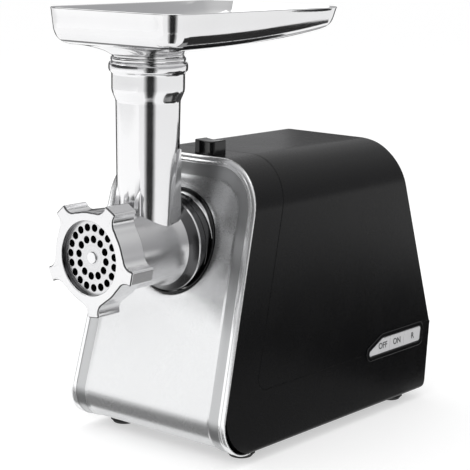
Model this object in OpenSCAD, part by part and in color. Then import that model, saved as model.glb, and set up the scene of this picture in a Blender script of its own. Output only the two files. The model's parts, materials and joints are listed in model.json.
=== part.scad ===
// Electric meat grinder: leaning body on four feet, geared drive, screw-on head and tray.
// Frame: origin on the table under the middle of the object, +Z up, the head faces -Y,
// +X is to the right of someone who faces the head. Millimetres.

/* [Body] */
// Width of the body at its foot
body_foot_w = 168.8; // [140:0.1:200]
// Width of the body at its top
body_top_w = 150.4; // [120:0.1:180]
// Height of the body's top above the table
body_top = 235; // [220:1:250]
// Gap between the body and the table
foot_h = 8.4; // [5:0.1:14]
// Distance from the front of the ring nut to the end of the cord gland
object_l = 350.2; // [330:0.2:370]
// Distance from the throat's axis back to the body's front edge at the foot, before rounding
front_edge_back = -10.6; // [-16:0.1:0]
// Lean of the front panel from upright
front_lean = 14.25; // [8:0.05:18]
// Lean of the rear wall from upright
rear_lean = 16.6; // [10:0.1:20]
// Height of the step in the rear wall
step_z = 68.7; // [60:0.1:80]
// How far the rear wall tucks in below the step
rear_tuck = 9; // [4:0.5:12]
// Radius of the top side edges
shoulder_r = 41.3; // [30:0.1:50]
// Radius where the black body turns under at the front
body_toe_r = 34; // [30:0.5:40]
// Radius where the silver panel turns under at the front
panel_toe_r = 27; // [22:0.5:30]
// Wall thickness of the moulded housings
wall = 2.8; // [2:0.1:4]
// Distance from the front face back to the joint between the two housings
seam_back = 35; // [28:0.5:45]
// Height of the joint between the two housings
seam_z = 56; // [50:0.5:62]
// Width of the joint line
seam_gap = 0.4; // [0.2:0.05:0.8]
// Depth of the tongue inside the joint
tongue_l = 5; // [3:0.5:8]

/* [Front panel] */
// Thickness of the panel's rim
rim_t = 1.2; // [1:0.1:1.5]
// Thickness of the panel behind its rim
panel_t = 4.2; // [3.5:0.1:5]
// Width of the rim
rim_w = 6.7; // [4:0.1:9]
// Width of the rim and the stepped band together
band_w = 17; // [12:0.5:22]
// Depth of the stepped band
band_d = 0.5; // [0.3:0.1:0.8]
// Depth of the panel's field
field_d = 1.5; // [1:0.1:2]
// Radius of the round opening for the head
socket_r = 41.5; // [40.5:0.1:44]

/* [Head] */
// Height of the drive axis above the table
axis_z = 166.6; // [160:0.1:172]
// Outer radius of the barrel
barrel_r = 30.5; // [29.5:0.1:31.5]
// Radius of the barrel's bore
bore_r = 27.5; // [25:0.1:28]
// Radius of the barrel's threaded mouth
thread_r = 32.2; // [31.5:0.1:32.5]
// Radius of the barrel's flange
flange_r = 38.5; // [36:0.1:39]
// Thickness of the flange
flange_t = 8; // [6:0.5:9]
// Distance from the throat's axis back to the flange's rear face
flange_back = 32; // [31:0.1:34]
// Radius of the spigot behind the flange
spigot_r = 27; // [25:0.1:28]
// Radius of the throat's bore
throat_bore_r = 21.5; // [20:0.1:22]
// Outer radius of the throat at its foot
throat_foot_r = 24; // [23.5:0.1:25]
// Outer radius of the throat under its cup
throat_neck_r = 25; // [24:0.1:26]
// Outer radius of the throat's cup
cup_r = 28.2; // [27.5:0.1:29]
// Radius of the collar round the throat's mouth
collar_r = 30.5; // [29.5:0.1:32]
// Height of the throat's mouth above the table
throat_top = 310.5; // [300:0.5:320]
// Depth of the cup that takes the tray's spout
cup_depth = 16; // [12:0.5:18]

/* [Ring nut and cutting parts] */
// Outer radius of the ring nut
ring_r = 35.6; // [35:0.1:37]
// Depth of the ring nut
ring_l = 24; // [20:0.5:28]
// Radius of the ring nut's opening
ring_open_r = 28.5; // [27:0.1:29]
// Thickness of the ring nut's lip
ring_lip = 4.4; // [3.5:0.1:5.5]
// Distance from the ring nut's axis to the tips of its lugs
lug_tip_r = 45.5; // [42:0.1:48]
// Number of lugs
lug_n = 5; // [3:1:6]
// Angle of the first lug
lug_at = 60; // [0:1:72]
// Radius of the cutting plate
plate_r = 30; // [29:0.1:30.5]
// Thickness of the cutting plate
plate_t = 7; // [5:0.5:8]
// Radius of the holes in the cutting plate
plate_hole_r = 2.85; // [2:0.05:3.2]
// Radius of the outer circle of holes
plate_outer_r = 23.1; // [22:0.1:24]
// Number of holes in the outer circle
plate_outer_n = 19; // [12:1:20]
// Radius of the inner circle of holes
plate_inner_r = 14.25; // [12:0.05:16]
// Number of holes in the inner circle
plate_inner_n = 12; // [8:1:13]
// Thickness of the cutting blade
blade_t = 5.5; // [4:0.5:7]
// Radius of the auger's front pin
pin_r = 4.22; // [3.5:0.01:5]
// Across flats of the square that drives the blade
blade_sq = 9; // [8:0.1:10]
// Radius of the auger's core
core_r = 9; // [7:0.5:12]
// Gap between the auger's thread and the bore
auger_gap = 1; // [0.6:0.1:1.5]
// Length of one turn of the auger's thread
auger_pitch = 30; // [24:1:36]
// Radius of the auger's journal
journal_r = 9.05; // [8:0.05:10]
// Across flats of the auger's driving tang
tang_sq = 11.4; // [9:0.1:12]

/* [Tray] */
// Length of the tray
tray_l = 210.3; // [190:0.1:230]
// Width of the tray
tray_w = 137.6; // [120:0.1:150]
// Height of the tray's rim above the table
tray_top = 350.3; // [340:0.1:360]
// Distance from the throat's axis to the tray's front wall
tray_fore = 48.6; // [44:0.1:54]
// Depth of the tray at its front
tray_d = 26; // [20:0.5:30]
// Slope of the tray's bottom
tray_slope = 3.4; // [2:0.1:5]
// Radius of the tray's upright corners
tray_corner_r = 18; // [12:0.5:24]
// Thickness of the tray's metal
tray_t = 1.2; // [0.8:0.1:2]
// Radius of the tray's spout
spout_r = 26.6; // [25:0.1:27]

/* [Release button] */
// Sideways place of the button
button_x = 12.5; // [0:0.5:16]
// Distance from the throat's axis back to the middle of the button
button_back = 59.4; // [57:0.1:62]
// Width of the button
button_w = 21; // [16:0.5:24]
// Length of the button from front to rear
button_l = 14.4; // [12:0.1:16]
// How far the button stands above the body
button_h = 11.2; // [9:0.1:13]
// Travel of the button
button_travel = 4.5; // [3:0.5:5]

/* [Keys] */
// Distance from the middle of the object back to the point of the key panel
keys_y = 79.5; // [70:0.5:90]
// Length of the row of keys
keys_l = 79; // [70:0.5:84]
// Height of the lower edge of the keys
keys_z = 53.8; // [50:0.1:58]
// Height of the keys
keys_h = 12.7; // [10:0.1:15]
// Width of the frame round the keys
bezel_w = 4.2; // [3:0.1:6]
// How far the frame stands out of the wall
bezel_out = 1.2; // [0.5:0.1:2]
// Gap round each key
key_gap = 0.4; // [0.3:0.05:0.6]
// Travel of each key
key_travel = 2; // [1.5:0.1:2.5]

/* [Drive] */
// Height of the motor's axis above the table
motor_z = 84; // [80:0.5:88]
// Module of the two fast gear stages
fast_mod = 1.25; // [1:0.05:1.4]
// Module of the slow gear stage
slow_mod = 1.75; // [1.5:0.05:1.9]
// Teeth on each small gear
small_teeth = 12; // [11:1:14]
// Teeth on each large gear of the fast stages
fast_teeth = 48; // [40:1:50]
// Teeth on the output gear
slow_teeth = 40; // [36:1:42]
// Side clearance between meshing teeth
backlash = 0.35; // [0.2:0.05:0.6]
// Radius of the gear shafts and the motor shaft
shaft_r = 4; // [3:0.5:5]
// Radius of the output shaft
output_r = 11; // [10:0.5:12]
// Radial running clearance of the shafts
run_gap = 0.05; // [0.02:0.01:0.1]
// Radius of the stator
stator_r = 39; // [34:0.5:40]
// Length of the stator
stator_l = 46; // [36:1:50]
// Radius of the rotor
rotor_r = 22.6; // [20:0.1:24]
// Gap between rotor and stator
air_gap = 0.7; // [0.5:0.1:1]

/* [Hidden] */
$fn = 96;
eps = 0.01;
fit = 0.1;

// Places along the object
throat_y = -object_l / 2 + 65.1;
ring_front_y = -object_l / 2;
front_y = throat_y + front_edge_back;
rear_y = object_l / 2 - 0.8;
tan_front = tan(front_lean);
tan_rear = tan(rear_lean);
function front_at(z) = front_y + (z - foot_h) * tan_front;
rear_top_y = rear_y - (body_top - step_z) * tan_rear;
side_taper = atan((body_foot_w - body_top_w) / 2 / (body_top - foot_h));
side_x0 = body_foot_w / 2 + foot_h * tan(side_taper);

// Outlines of the body, seen from the side (y, z) and from the front (x, z)
side_pts = [[front_y, foot_h], [rear_y - rear_tuck, foot_h], [rear_y, step_z],
            [rear_top_y, body_top], [front_at(body_top), body_top]];
front_pts = [[-body_foot_w / 2, foot_h], [body_foot_w / 2, foot_h],
             [body_top_w / 2, body_top], [-body_top_w / 2, body_top]];
panel_end_y = front_y + 39;

// Head
flange_y = throat_y + flange_back;
plate_front_y = ring_front_y + ring_lip;
plate_rear_y = plate_front_y + plate_t;
mouth_y = plate_front_y + 2;
blade_rear_y = plate_rear_y + 0.1 + blade_t;
bore_end_y = flange_y - 12;
cover_y = flange_y + 20;
socket_face_y = flange_y + 0.3;
spigot_end_y = cover_y - 3;
tang_end_y = cover_y - 1;

// Gear train, from the motor (a) through two countershafts (b, c) to the output (d)
fast_a = fast_mod * (small_teeth + fast_teeth) / 2;
slow_a = slow_mod * (small_teeth + slow_teeth) / 2;
at_a = [0, motor_z];
at_d = [0, axis_z];
at_b = at_a + fast_a * [cos(120), sin(120)];
bd = norm(at_d - at_b);
bd_dir = (at_d - at_b) / bd;
c_along = (fast_a * fast_a - slow_a * slow_a + bd * bd) / (2 * bd);
c_aside = sqrt(fast_a * fast_a - c_along * c_along);
at_c = at_b + c_along * bd_dir + c_aside * [bd_dir[1], -bd_dir[0]];
function bearing_angle(p, q) = atan2(q[1] - p[1], q[0] - p[0]);

cover_t = 6;
case_front_y = cover_y + cover_t;
slow_y = case_front_y + 2;
slow_w = 14;
mid_y = slow_y + slow_w + 2;
mid_w = 10;
fast_y = mid_y + mid_w + 2;
fast_w = 8;
case_back_y = fast_y + fast_w + 2;
back_t = 5;
case_w = 112;
case_low = motor_z - 20;
case_high = axis_z + 42;
case_wall = 4;

// Motor
fan_y = case_back_y + back_t + 6;
fan_w = 12;
stator_y = fan_y + fan_w + 12;
stator_end = stator_y + stator_l;
comm_y = stator_end + 12;
comm_w = 13;
comm_r = 11;
end_frame_y = comm_y + comm_w + 6;
end_frame_t = 6;
bolt_r = 34;
bolt_at = [45, 135, 225, 315];

// Keys, in the plane of the side wall: (y, height)
key_knee = [keys_y + 19.5, keys_z + keys_h];
key_cuts = [keys_y + 30, keys_y + 51.5];
key_skew = 2.8;
key_pts = [[keys_y, keys_z], [keys_y + keys_l - 2.5, keys_z], [keys_y + keys_l, keys_z + keys_h],
           key_knee, [keys_y - 0.4, keys_z + 3.8]];

black = [0.06, 0.06, 0.065];
silver = [0.78, 0.79, 0.80];
polished = [0.86, 0.87, 0.88];
steel = [0.62, 0.63, 0.65];
grey = [0.55, 0.56, 0.57];
copper = [0.72, 0.38, 0.18];
nylon = [0.90, 0.89, 0.84];

// ---- outlines -------------------------------------------------------------

function unit(v) = v / norm(v);
function half_angle(p, a, b) = acos(unit(a - p) * unit(b - p)) / 2;
function corner_run(p, a, b, r) = r / tan(half_angle(p, a, b));
function corner_centre(p, a, b, r) = p + unit(unit(a - p) + unit(b - p)) * r / sin(half_angle(p, a, b));
function cross2(u, v) = u[0] * v[1] - u[1] * v[0];
function inward(a, b) = let (u = unit(b - a)) [-u[1], u[0]];
function meet(p, u, q, v) = p + u * cross2(q - p, v) / cross2(u, v);
// Moves edge i of an anticlockwise outline inwards by d[i]
function inset(pts, d) = let (n = len(pts)) [
  for (i = [0 : n - 1]) let (j = (i + n - 1) % n, k = (i + 1) % n)
    meet(pts[j] + inward(pts[j], pts[i]) * d[j], pts[i] - pts[j],
         pts[i] + inward(pts[i], pts[k]) * d[i], pts[k] - pts[i])];
function shrink(radii, w) = [for (r = radii) r > 0 ? max(r - w, 0.6) : 0];

// Polygon with true arcs at its outward corners
module rounded_polygon(pts, radii) {
  n = len(pts);
  polygon([for (i = [0 : n - 1])
    let (p = pts[i], a = pts[(i + n - 1) % n], b = pts[(i + 1) % n], r = radii[i],
         t = r > 0 ? corner_run(p, a, b, r) : 0)
    each (r > 0 ? [p + unit(a - p) * t, p + unit(b - p) * t] : [p])]);
  for (i = [0 : n - 1]) if (radii[i] > 0)
    translate(corner_centre(pts[i], pts[(i + n - 1) % n], pts[(i + 1) % n], radii[i]))
      circle(r = radii[i]);
}

// Extrudes a (y, z) outline across the object
module across(w = 300) rotate([90, 0, 90]) linear_extrude(w, center = true) children();

// Extrudes an (x, z) outline along the object from y0 to y1
module along(y0, y1) translate([0, y1, 0]) rotate([90, 0, 0]) linear_extrude(y1 - y0) children();

// Places an (x, z) outline on the drive axis
module on_axis() translate([0, axis_z]) children();

// Round bar along the object, centred at p = [x, z]
module bar(p, y0, y1, r) along(y0, y1) translate(p) circle(r = r);

// Tube along the object, centred at p = [x, z]
module pipe(p, y0, y1, r, bore) along(y0, y1) translate(p) difference() {
  circle(r = r);
  circle(r = bore);
}

// Upright rounded block
module block(w, l, h, r) linear_extrude(h) for (s = [0, 1]) {
  square(s == 0 ? [w - 2 * r, l] : [w, l - 2 * r], center = true);
  for (t = [-1, 1]) translate([t * (w / 2 - r), (s * 2 - 1) * (l / 2 - r)]) circle(r = r);
}

// Screw with a pan head, its point upwards
module screw(r, l, head_r, head_h) {
  difference() {
    cylinder(r = head_r, h = head_h);
    for (a = [0, 90]) rotate(a) translate([-head_r * 0.6, -0.5, -eps]) cube([head_r * 1.2, 1, head_h * 0.55]);
  }
  translate([0, 0, head_h - eps]) cylinder(r = r, h = l);
}

// ---- body -----------------------------------------------------------------

// The whole black body: grow moves the front face forwards, w is the inset of the rest
module body_form(w = 0, front = rim_t, rear = 0, floor_in = undef) {
  f = is_undef(floor_in) ? w : floor_in;
  intersection() {
    across() rounded_polygon(inset(side_pts, [f, w, w + rear, w, front]),
                             shrink([body_toe_r, 8, 4, 8, 0], w));
    along(-object_l, object_l) rounded_polygon(inset(front_pts, [f, w, w, w]),
                                               shrink([3, 3, shoulder_r, shoulder_r], w));
  }
}

// Side view of the upper housing's region, moved inwards by d
module upper_region(d = 0) {
  pts = [[front_at(seam_z) + seam_back, seam_z], [keys_y + 20, seam_z], [keys_y + 44, step_z],
         [object_l, step_z], [object_l, 400], [front_at(400) + seam_back, 400]];
  rounded_polygon(inset(pts, [d, d, d, 0, 0, d]), [max(10 - d, 1), 0, 0, 0, 0, 0]);
}

// Side view of a strip behind the front face, t deep
module front_strip(t) polygon([[-object_l, -20], [panel_end_y, -20], [panel_end_y, foot_h + 24],
  [front_at(60) + t / cos(front_lean), 60], [front_at(300) + t / cos(front_lean), 300], [-object_l, 300]]);

// Side view of a layer of the panel from d0 to d1 below its surface
module panel_layer(d0, d1) intersection() {
  difference() {
    rounded_polygon(inset(side_pts, [d0, 0, 0, -20, d0]), shrink([panel_toe_r, 8, 4, 8, 0], d0));
    rounded_polygon(inset(side_pts, [d1, 0, 0, -40, d1]), shrink([panel_toe_r, 8, 4, 8, 0], d1));
  }
  front_strip(12);
}

// Front view of the body, moved inwards by d; the bottom edge by low
module face_outline(d, low = undef)
  rounded_polygon(inset(front_pts, [is_undef(low) ? d : low, d, d, d]), shrink([3, 3, shoulder_r, shoulder_r], d));

module button_slot(gap) translate([button_x, throat_y + button_back, body_top - 14])
  block(button_w + 2 * gap, button_l + 2 * gap, 40, 1.2 + gap);

// Frame of the side wall: x runs along the body, y up the wall, z outwards
module on_side() translate([side_x0, 0, 0]) rotate([0, -side_taper, 0]) rotate([90, 0, 90]) children();

module key_outline(d = 0) rounded_polygon(inset(key_pts, [-d, -d, -d, -d, -d]), [2 + d, 2.5 + d, 2 + d, 5 + d, 2.5 + d]);

module key_window() on_side() translate([0, 0, -12]) linear_extrude(30) key_outline(1.2);

module main_housing() color(black) {
  difference() {
    intersection() {
      difference() {
        body_form(0, 0, 1);
        body_form(wall, 0, 1);
      }
      across() upper_region(seam_gap);
    }
    key_window();
    // vents high in the rear wall
    for (i = [-4 : 4]) translate([i * 9, rear_y - 30, 150]) block(4, 60, 26, 1.9);
  }
}

module base_housing() color(black) difference() {
  union() {
    difference() {
      body_form();
      body_form(wall, -30);
      across() upper_region();
      // room for the panel between the side walls
      intersection() {
        across() panel_layer(-1, panel_t + 0.3);
        along(-object_l, 0) face_outline(wall);
      }
      // floor opening
      translate([0, 30, -5]) block(100, 190, 30, 12);
    }
    // tongue that backs the joint
    intersection() {
      difference() {
        body_form(wall - 0.5);
        body_form(wall + 1.7);
      }
      across() difference() {
        upper_region(-tongue_l);
        upper_region(0);
      }
    }
    intersection() {
      difference() {
        body_form(wall + 0.2, rim_t, 1);
        body_form(wall + 1.4, rim_t, 1);
      }
      across() difference() {
        upper_region(-2);
        upper_region(tongue_l);
      }
    }
  }
  key_window();
  button_slot(0.35);
  // screw holes for the feet
  each_foot() translate([0, 0, foot_h - 1]) cylinder(r = 2.2, h = 8);
  // cord gland hole
  bar([-40, 36], 120, object_l, 6.2);
}

module body_side() rounded_polygon(inset(side_pts, [0, 0, 0, -20, rim_t]), [body_toe_r, 8, 4, 8, 0]);

// Side view of the body d below the panel's surface
module panel_side(d) rounded_polygon(inset(side_pts, [d, 0, 0, -20 - d, d]), shrink([panel_toe_r, 8, 4, 8, 0], d));

// Cutter that lowers the panel's surface by depth inside an outline
module panel_recess(depth, edge) intersection() {
  across(280) difference() {
    translate([-object_l, -30]) square([object_l + panel_end_y + 9, 360]);
    panel_side(depth);
  }
  along(-object_l + 1, 2) face_outline(edge, -40);
}

module front_panel() color(silver) difference() {
  intersection() {
    across() intersection() {
      panel_side(0);
      front_strip(12);
    }
    along(-object_l, 0) face_outline(0);
  }
  // hollow behind the panel; only the rim covers the ends of the body's side walls
  difference() {
    across(310) body_side();
    difference() {
      along(-object_l - 1, 3) face_outline(wall + 0.25);
      across(290) panel_side(panel_t);
    }
  }
  panel_recess(band_d, rim_w);
  panel_recess(field_d, band_w);
  bar([0, axis_z], -object_l + 2, 1, socket_r);
}

module each_foot() for (x = [-64, 64], y = [front_y + 52, rear_y - 34]) translate([x, y, 0]) children();

module chassis_plate() color(steel) difference() {
  translate([0, (panel_end_y + rear_y) / 2 - 8, foot_h + wall + 0.1])
    block(body_foot_w - 2 * wall - 8, rear_y - panel_end_y - 26, 2, 8);
  each_foot() cylinder(r = 2.2, h = 30);
  for (i = [-4 : 4]) translate([i * 9, 128, 0]) block(4, 34, 40, 1.9);
}

module rubber_feet() color([0.05, 0.05, 0.05]) each_foot() difference() {
  union() {
    cylinder(r1 = 9, r2 = 11, h = 3);
    translate([0, 0, 3 - eps]) cylinder(r = 11, h = foot_h - 3.05);
  }
  translate([0, 0, -1]) cylinder(r = 5, h = 4.5);
  translate([0, 0, 3]) cylinder(r = 2.3, h = 10);
}

module foot_screws() color(steel) each_foot() translate([0, 0, 0.9]) screw(2, 11.5, 4.2, 2.5);

module cord_gland() color(black) {
  pipe([-40, 36], rear_y - rear_tuck - 6, object_l / 2, 6, 3.6);
  pipe([-40, 36], rear_y - rear_tuck + 6, object_l / 2, 9, 5.9);
}

// ---- head socket and release ----------------------------------------------

module socket_collar() color(black) difference() {
  pipe([0, axis_z], front_y, cover_y - 0.2, socket_r - 0.3, socket_r - 1.7);
  across() translate([-1, 0]) front_strip(rim_t);
  translate([button_x - 4.6, lock_y - 0.6, axis_z]) cube([9.2, lock_t + 1.2, 60]);
}

module head_socket() color(silver) difference() {
  pipe([0, axis_z], socket_face_y, cover_y - 0.2, socket_r - 1.9, spigot_r + 0.2);
  // groove behind the ledge, and the two ways in for the bayonet lugs
  bar([0, axis_z], flange_y + 9, cover_y, spigot_r + 4);
  for (a = [60, 240]) bayonet_lug(a, flange_y - 1, cover_y, 0.5);
  // slide for the lock plate
  translate([button_x - 4.4, lock_y - 0.4, axis_z + tooth_low - button_travel - 0.6]) cube([8.8, lock_t + 0.8, 60]);
  translate([button_x - 4.4, flange_y - 1, axis_z + tooth_low - button_travel - 0.6]) cube([8.8, 20, button_travel + tooth_t + 1.2]);
}

module bayonet_lug(a, y0, y1, gap = 0) along(y0, y1) on_axis() intersection() {
  circle(r = spigot_r + 3.5 + gap);
  rotate(a) translate([spigot_r - 4, -9 - gap]) square([20, 18 + 2 * gap]);
}

lock_t = 3;
lock_y = cover_y - 1.2 - lock_t;
tooth_t = 3.2;
tooth_r = flange_r - 4.5;
tooth_low = sqrt(tooth_r * tooth_r - button_x * button_x);

module release_button() color(black) difference() {
  translate([button_x, throat_y + button_back, body_top - 7]) block(button_w, button_l, 7 + button_h, 1.2);
  translate([button_x, 0, body_top + button_h + 59.2]) rotate([90, 0, 0]) cylinder(r = 60, h = object_l, center = true, $fn = 160);
  translate([button_x, throat_y + button_back - button_l / 2 - 19.2, body_top]) cylinder(r = 20, h = button_h + 20);
}

module lock_plate() color(steel) {
  jog_z = case_high + button_travel + 0.5;
  stem_y = throat_y + button_back - 3;
  translate([button_x - 4, lock_y, axis_z + tooth_low]) cube([8, lock_t, jog_z + 3 - axis_z - tooth_low]);
  translate([button_x - 4, flange_y - 2.6, axis_z + tooth_low]) cube([8, lock_y + 1 - flange_y + 2.6, tooth_t]);
  translate([button_x - 4, lock_y, jog_z]) cube([8, stem_y + 3 - lock_y, 3]);
  translate([button_x - 4, stem_y, jog_z]) cube([8, 3, body_top - 7.05 - jog_z]);
}

spring_r = 10;
spring_z = body_top - 7.3 - button_travel - spring_r;

// Arched leaf spring that stands on the gearbox
module lock_spring() color(steel) along(throat_y + button_back + 1.5, throat_y + button_back + 6.5)
  translate([button_x, spring_z]) difference() {
    intersection() {
      union() {
        circle(r = spring_r);
        translate([-spring_r, -spring_r]) square([2 * spring_r, spring_r]);
      }
      translate([-2 * spring_r, case_high + 0.05 - spring_z]) square([4 * spring_r, 40]);
    }
    circle(r = spring_r - 0.7);
    translate([0.7 - spring_r, -2 * spring_r]) square([2 * spring_r - 1.4, 2 * spring_r]);
  }

// ---- keys and electrics ---------------------------------------------------

module key_bezel() color(black) on_side() difference() {
  union() {
    translate([0, 0, eps]) linear_extrude(bezel_out) difference() {
      key_outline(bezel_w);
      key_outline(key_gap);
    }
    translate([0, 0, -6]) linear_extrude(6 + 2 * eps) difference() {
      key_outline(1.0);
      key_outline(key_gap);
    }
  }
}

// One key between two slanted cuts
module key(from, to) on_side() {
  intersection() {
    translate([0, 0, -4.5]) linear_extrude(4.5 + bezel_out - 0.4) key_outline();
    translate([0, 0, -10]) linear_extrude(20)
      polygon([[from - key_skew / 2, keys_z - 5], [to - key_skew / 2, keys_z - 5],
               [to + key_skew / 2 + 1, keys_z + keys_h + 5], [from + key_skew / 2 + 1, keys_z + keys_h + 5]]);
  }
  translate([(max(from, keys_y + 9) + min(to, keys_y + keys_l)) / 2, keys_z + keys_h / 2, -10]) cylinder(r = 2, h = 6);
}

module key_off() color(grey) key(keys_y - 20, key_cuts[0] - key_gap / 2);
module key_on() color(grey) key(key_cuts[0] + key_gap / 2, key_cuts[1] - key_gap / 2);
module key_reverse() color(grey) key(key_cuts[1] + key_gap / 2, keys_y + keys_l + 20);

module switch_block() color([0.2, 0.2, 0.22]) on_side() difference() {
  translate([keys_y + 4, keys_z - 2, -22]) cube([keys_l - 8, keys_h + 4, 14.5]);
  for (p = [(keys_y + 9 + key_cuts[0]) / 2, (key_cuts[0] + key_cuts[1]) / 2, (key_cuts[1] + keys_y + keys_l) / 2])
    translate([p, keys_z + keys_h / 2, -14]) cylinder(r = 2.4, h = 10);
}

module circuit_board() color([0.10, 0.35, 0.20]) on_side() {
  translate([keys_y, keys_z - 14, -23.8]) cube([keys_l, 40, 1.6]);
  for (i = [0 : 2]) translate([keys_y + 14 + i * 24, keys_z + 19.5, -22.21]) cylinder(r = 4.5, h = 11);
}

// ---- gearbox --------------------------------------------------------------

module case_outline(d) rounded_polygon(inset([[-case_w / 2, case_low], [case_w / 2, case_low],
  [case_w / 2, case_high], [-case_w / 2, case_high]], [d, d, d, d]), [9 - d / 2, 9 - d / 2, 40 - d, 40 - d]);

case_screws = [[-case_w / 2 + 8, case_low + 8], [case_w / 2 - 8, case_low + 8],
               [-case_w / 2 + 8, axis_z - 12], [case_w / 2 - 8, axis_z - 12]];

module gearbox_case() color(grey) difference() {
  union() {
    difference() {
      along(case_front_y, case_back_y + back_t) case_outline(0);
      along(case_front_y - 1, case_back_y) case_outline(case_wall);
    }
    for (p = case_screws) bar(p, case_front_y, case_back_y + 1, 5);
    pipe(at_a, case_back_y + back_t - 1, case_back_y + back_t + 4, 14, 9);
  }
  bar(at_a, case_back_y - 1, case_back_y + back_t + 6, 9.05);
  for (p = [at_b, at_c]) bar(p, case_back_y - 1, case_back_y + back_t - 1, shaft_r + 2.6);
  for (p = case_screws) bar(p, case_front_y - 1, case_back_y - 6, 1.9);
  for (a = bolt_at) bar(at_a + bolt_r * [cos(a), sin(a)], case_back_y - 1, case_back_y + 20, 1.7);
}

module gearbox_cover() color(grey) difference() {
  along(cover_y, case_front_y - 0.05) case_outline(0);
  bar(at_d, cover_y - 1, case_front_y + 1, output_r + 2.5);
  for (p = [at_b, at_c]) bar(p, cover_y + 1.5, case_front_y + 1, shaft_r + 2.6);
  for (p = case_screws) bar(p, cover_y - 1, case_front_y + 1, 2.2);
}

module gearbox_screws() color(steel) for (p = case_screws)
  translate([p[0], cover_y - 2.55, p[1]]) rotate([-90, 0, 0]) screw(1.85, 20, 3.8, 2.5);

module gearbox_stand() color(steel) difference() {
  translate([0, (case_front_y + case_back_y) / 2, foot_h + wall + 2.15]) union() {
    block(case_w - 30, case_back_y - case_front_y, 3, 5);
    for (s = [-1, 1]) translate([s * 26, 0, 0]) block(6, 22, case_low - foot_h - wall - 2.2, 2.5);
  }
}

module gear_bushes() color([0.70, 0.55, 0.25]) {
  for (p = [at_b, at_c]) {
    pipe(p, cover_y + 1.6, case_front_y, shaft_r + 2.55, shaft_r + run_gap);
    pipe(p, case_back_y, case_back_y + back_t - 1.1, shaft_r + 2.55, shaft_r + run_gap);
  }
  pipe(at_d, cover_y, case_front_y + 1, output_r + 2.45, output_r + run_gap);
}

// Involute tooth flank: angle at radius r, from the middle of the tooth
function inv(a) = tan(a) * 180 / PI - a;
function flank_angle(r, rb, rp, half) = half + inv(20) - inv(r > rb ? acos(rb / r) : 0);

// Spur gear on the y axis with a tooth centred at angle at
module spur(p, y0, w, m, n, at, bore) {
  rp = m * n / 2;
  rb = rp * cos(20);
  ro = rp + m * 0.95;
  rr = rp - m * 1.25;
  half = 90 / n - backlash / 2 / rp * 180 / PI;
  steps = 4;
  radii = [for (i = [0 : steps]) max(rr, rb) + (ro - max(rr, rb)) * i / steps];
  along(y0, y0 + w) translate(p) rotate(at) difference() {
    union() {
      circle(r = rr);
      for (k = [0 : n - 1]) rotate(k * 360 / n) polygon(concat(
        [let (a = flank_angle(radii[0], rb, rp, half)) (rr - 0.3) * [cos(a), -sin(a)]],
        [for (r = radii) let (a = flank_angle(r, rb, rp, half)) r * [cos(a), -sin(a)]],
        [for (i = [steps : -1 : 0]) let (r = radii[i], a = flank_angle(r, rb, rp, half)) r * [cos(a), sin(a)]],
        [let (a = flank_angle(radii[0], rb, rp, half)) (rr - 0.3) * [cos(a), sin(a)]]));
    }
    circle(r = bore);
  }
}

dir_ab = bearing_angle(at_a, at_b);
dir_bc = bearing_angle(at_b, at_c);
dir_cd = bearing_angle(at_c, at_d);

module web_relief(p, y0, w, r_in, r_out, d) for (y = [y0 - 0.5, y0 + w - d]) pipe(p, y, y + d + 0.5, r_out, r_in);

module motor_pinion() color(steel) spur(at_a, fast_y, fast_w, fast_mod, small_teeth, dir_ab, shaft_r);

module first_gear() color(nylon) difference() {
  union() {
    spur(at_b, fast_y, fast_w, fast_mod, fast_teeth, dir_ab + 180 + 180 / fast_teeth, 1);
    bar(at_b, mid_y + mid_w + 0.3, fast_y + 1, 10);
    spur(at_b, mid_y, mid_w + 0.8, fast_mod, small_teeth, dir_bc, 1);
  }
  web_relief(at_b, fast_y, fast_w, 12, fast_mod * fast_teeth / 2 - 5, 2);
  bar(at_b, slow_y, case_back_y, shaft_r);
}

module first_shaft() color(steel) bar(at_b, cover_y + 2, case_back_y + back_t - 1.3, shaft_r);

module second_gear() color(nylon) difference() {
  union() {
    spur(at_c, mid_y, mid_w, fast_mod, fast_teeth, dir_bc + 180 + 180 / fast_teeth, 1);
    bar(at_c, slow_y + slow_w + 0.3, mid_y + 1, 13);
    spur(at_c, slow_y, slow_w + 0.8, slow_mod, small_teeth, dir_cd, 1);
  }
  web_relief(at_c, mid_y, mid_w, 15, fast_mod * fast_teeth / 2 - 5, 2.5);
  bar(at_c, slow_y - 1, case_back_y, shaft_r);
}

module second_shaft() color(steel) bar(at_c, cover_y + 2, case_back_y + back_t - 1.3, shaft_r);

module output_gear() color(steel) difference() {
  spur(at_d, slow_y, slow_w, slow_mod, slow_teeth, dir_cd + 180 + 180 / slow_teeth, output_r - 1);
  web_relief(at_d, slow_y, slow_w, 17, slow_mod * slow_teeth / 2 - 6, 4);
}

module output_shaft() color(steel) difference() {
  union() {
    bar(at_d, cover_y - 12, slow_y - 0.2, output_r);
    bar(at_d, slow_y - 0.2 - eps, slow_y + slow_w + 1, output_r - 1);
  }
  along(cover_y - 13, cover_y + 1) translate(at_d) square(tang_sq + 0.2, center = true);
}

// ---- motor ----------------------------------------------------------------

module motor_shaft() color(steel) bar(at_a, fast_y - 0.5, end_frame_y + end_frame_t + 2, shaft_r);

module rotor_core() color(grey) along(stator_y, stator_end) translate(at_a) difference() {
  circle(r = rotor_r);
  circle(r = shaft_r);
  for (k = [0 : 11]) rotate(k * 30) {
    translate([rotor_r - 3, -0.9]) square([4, 1.8]);
    translate([rotor_r - 6, 0]) circle(r = 2.6);
  }
}

module rotor_windings() color(copper) for (y = [stator_y - 9, stator_end + 0.1])
  translate([at_a[0], y + 9, at_a[1]]) rotate([90, 0, 0]) rotate_extrude() {
    translate([shaft_r, 0]) square([12.5, 8.9]);
    translate([shaft_r + 12.5, 4.45]) circle(r = 4.45);
  }

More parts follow.
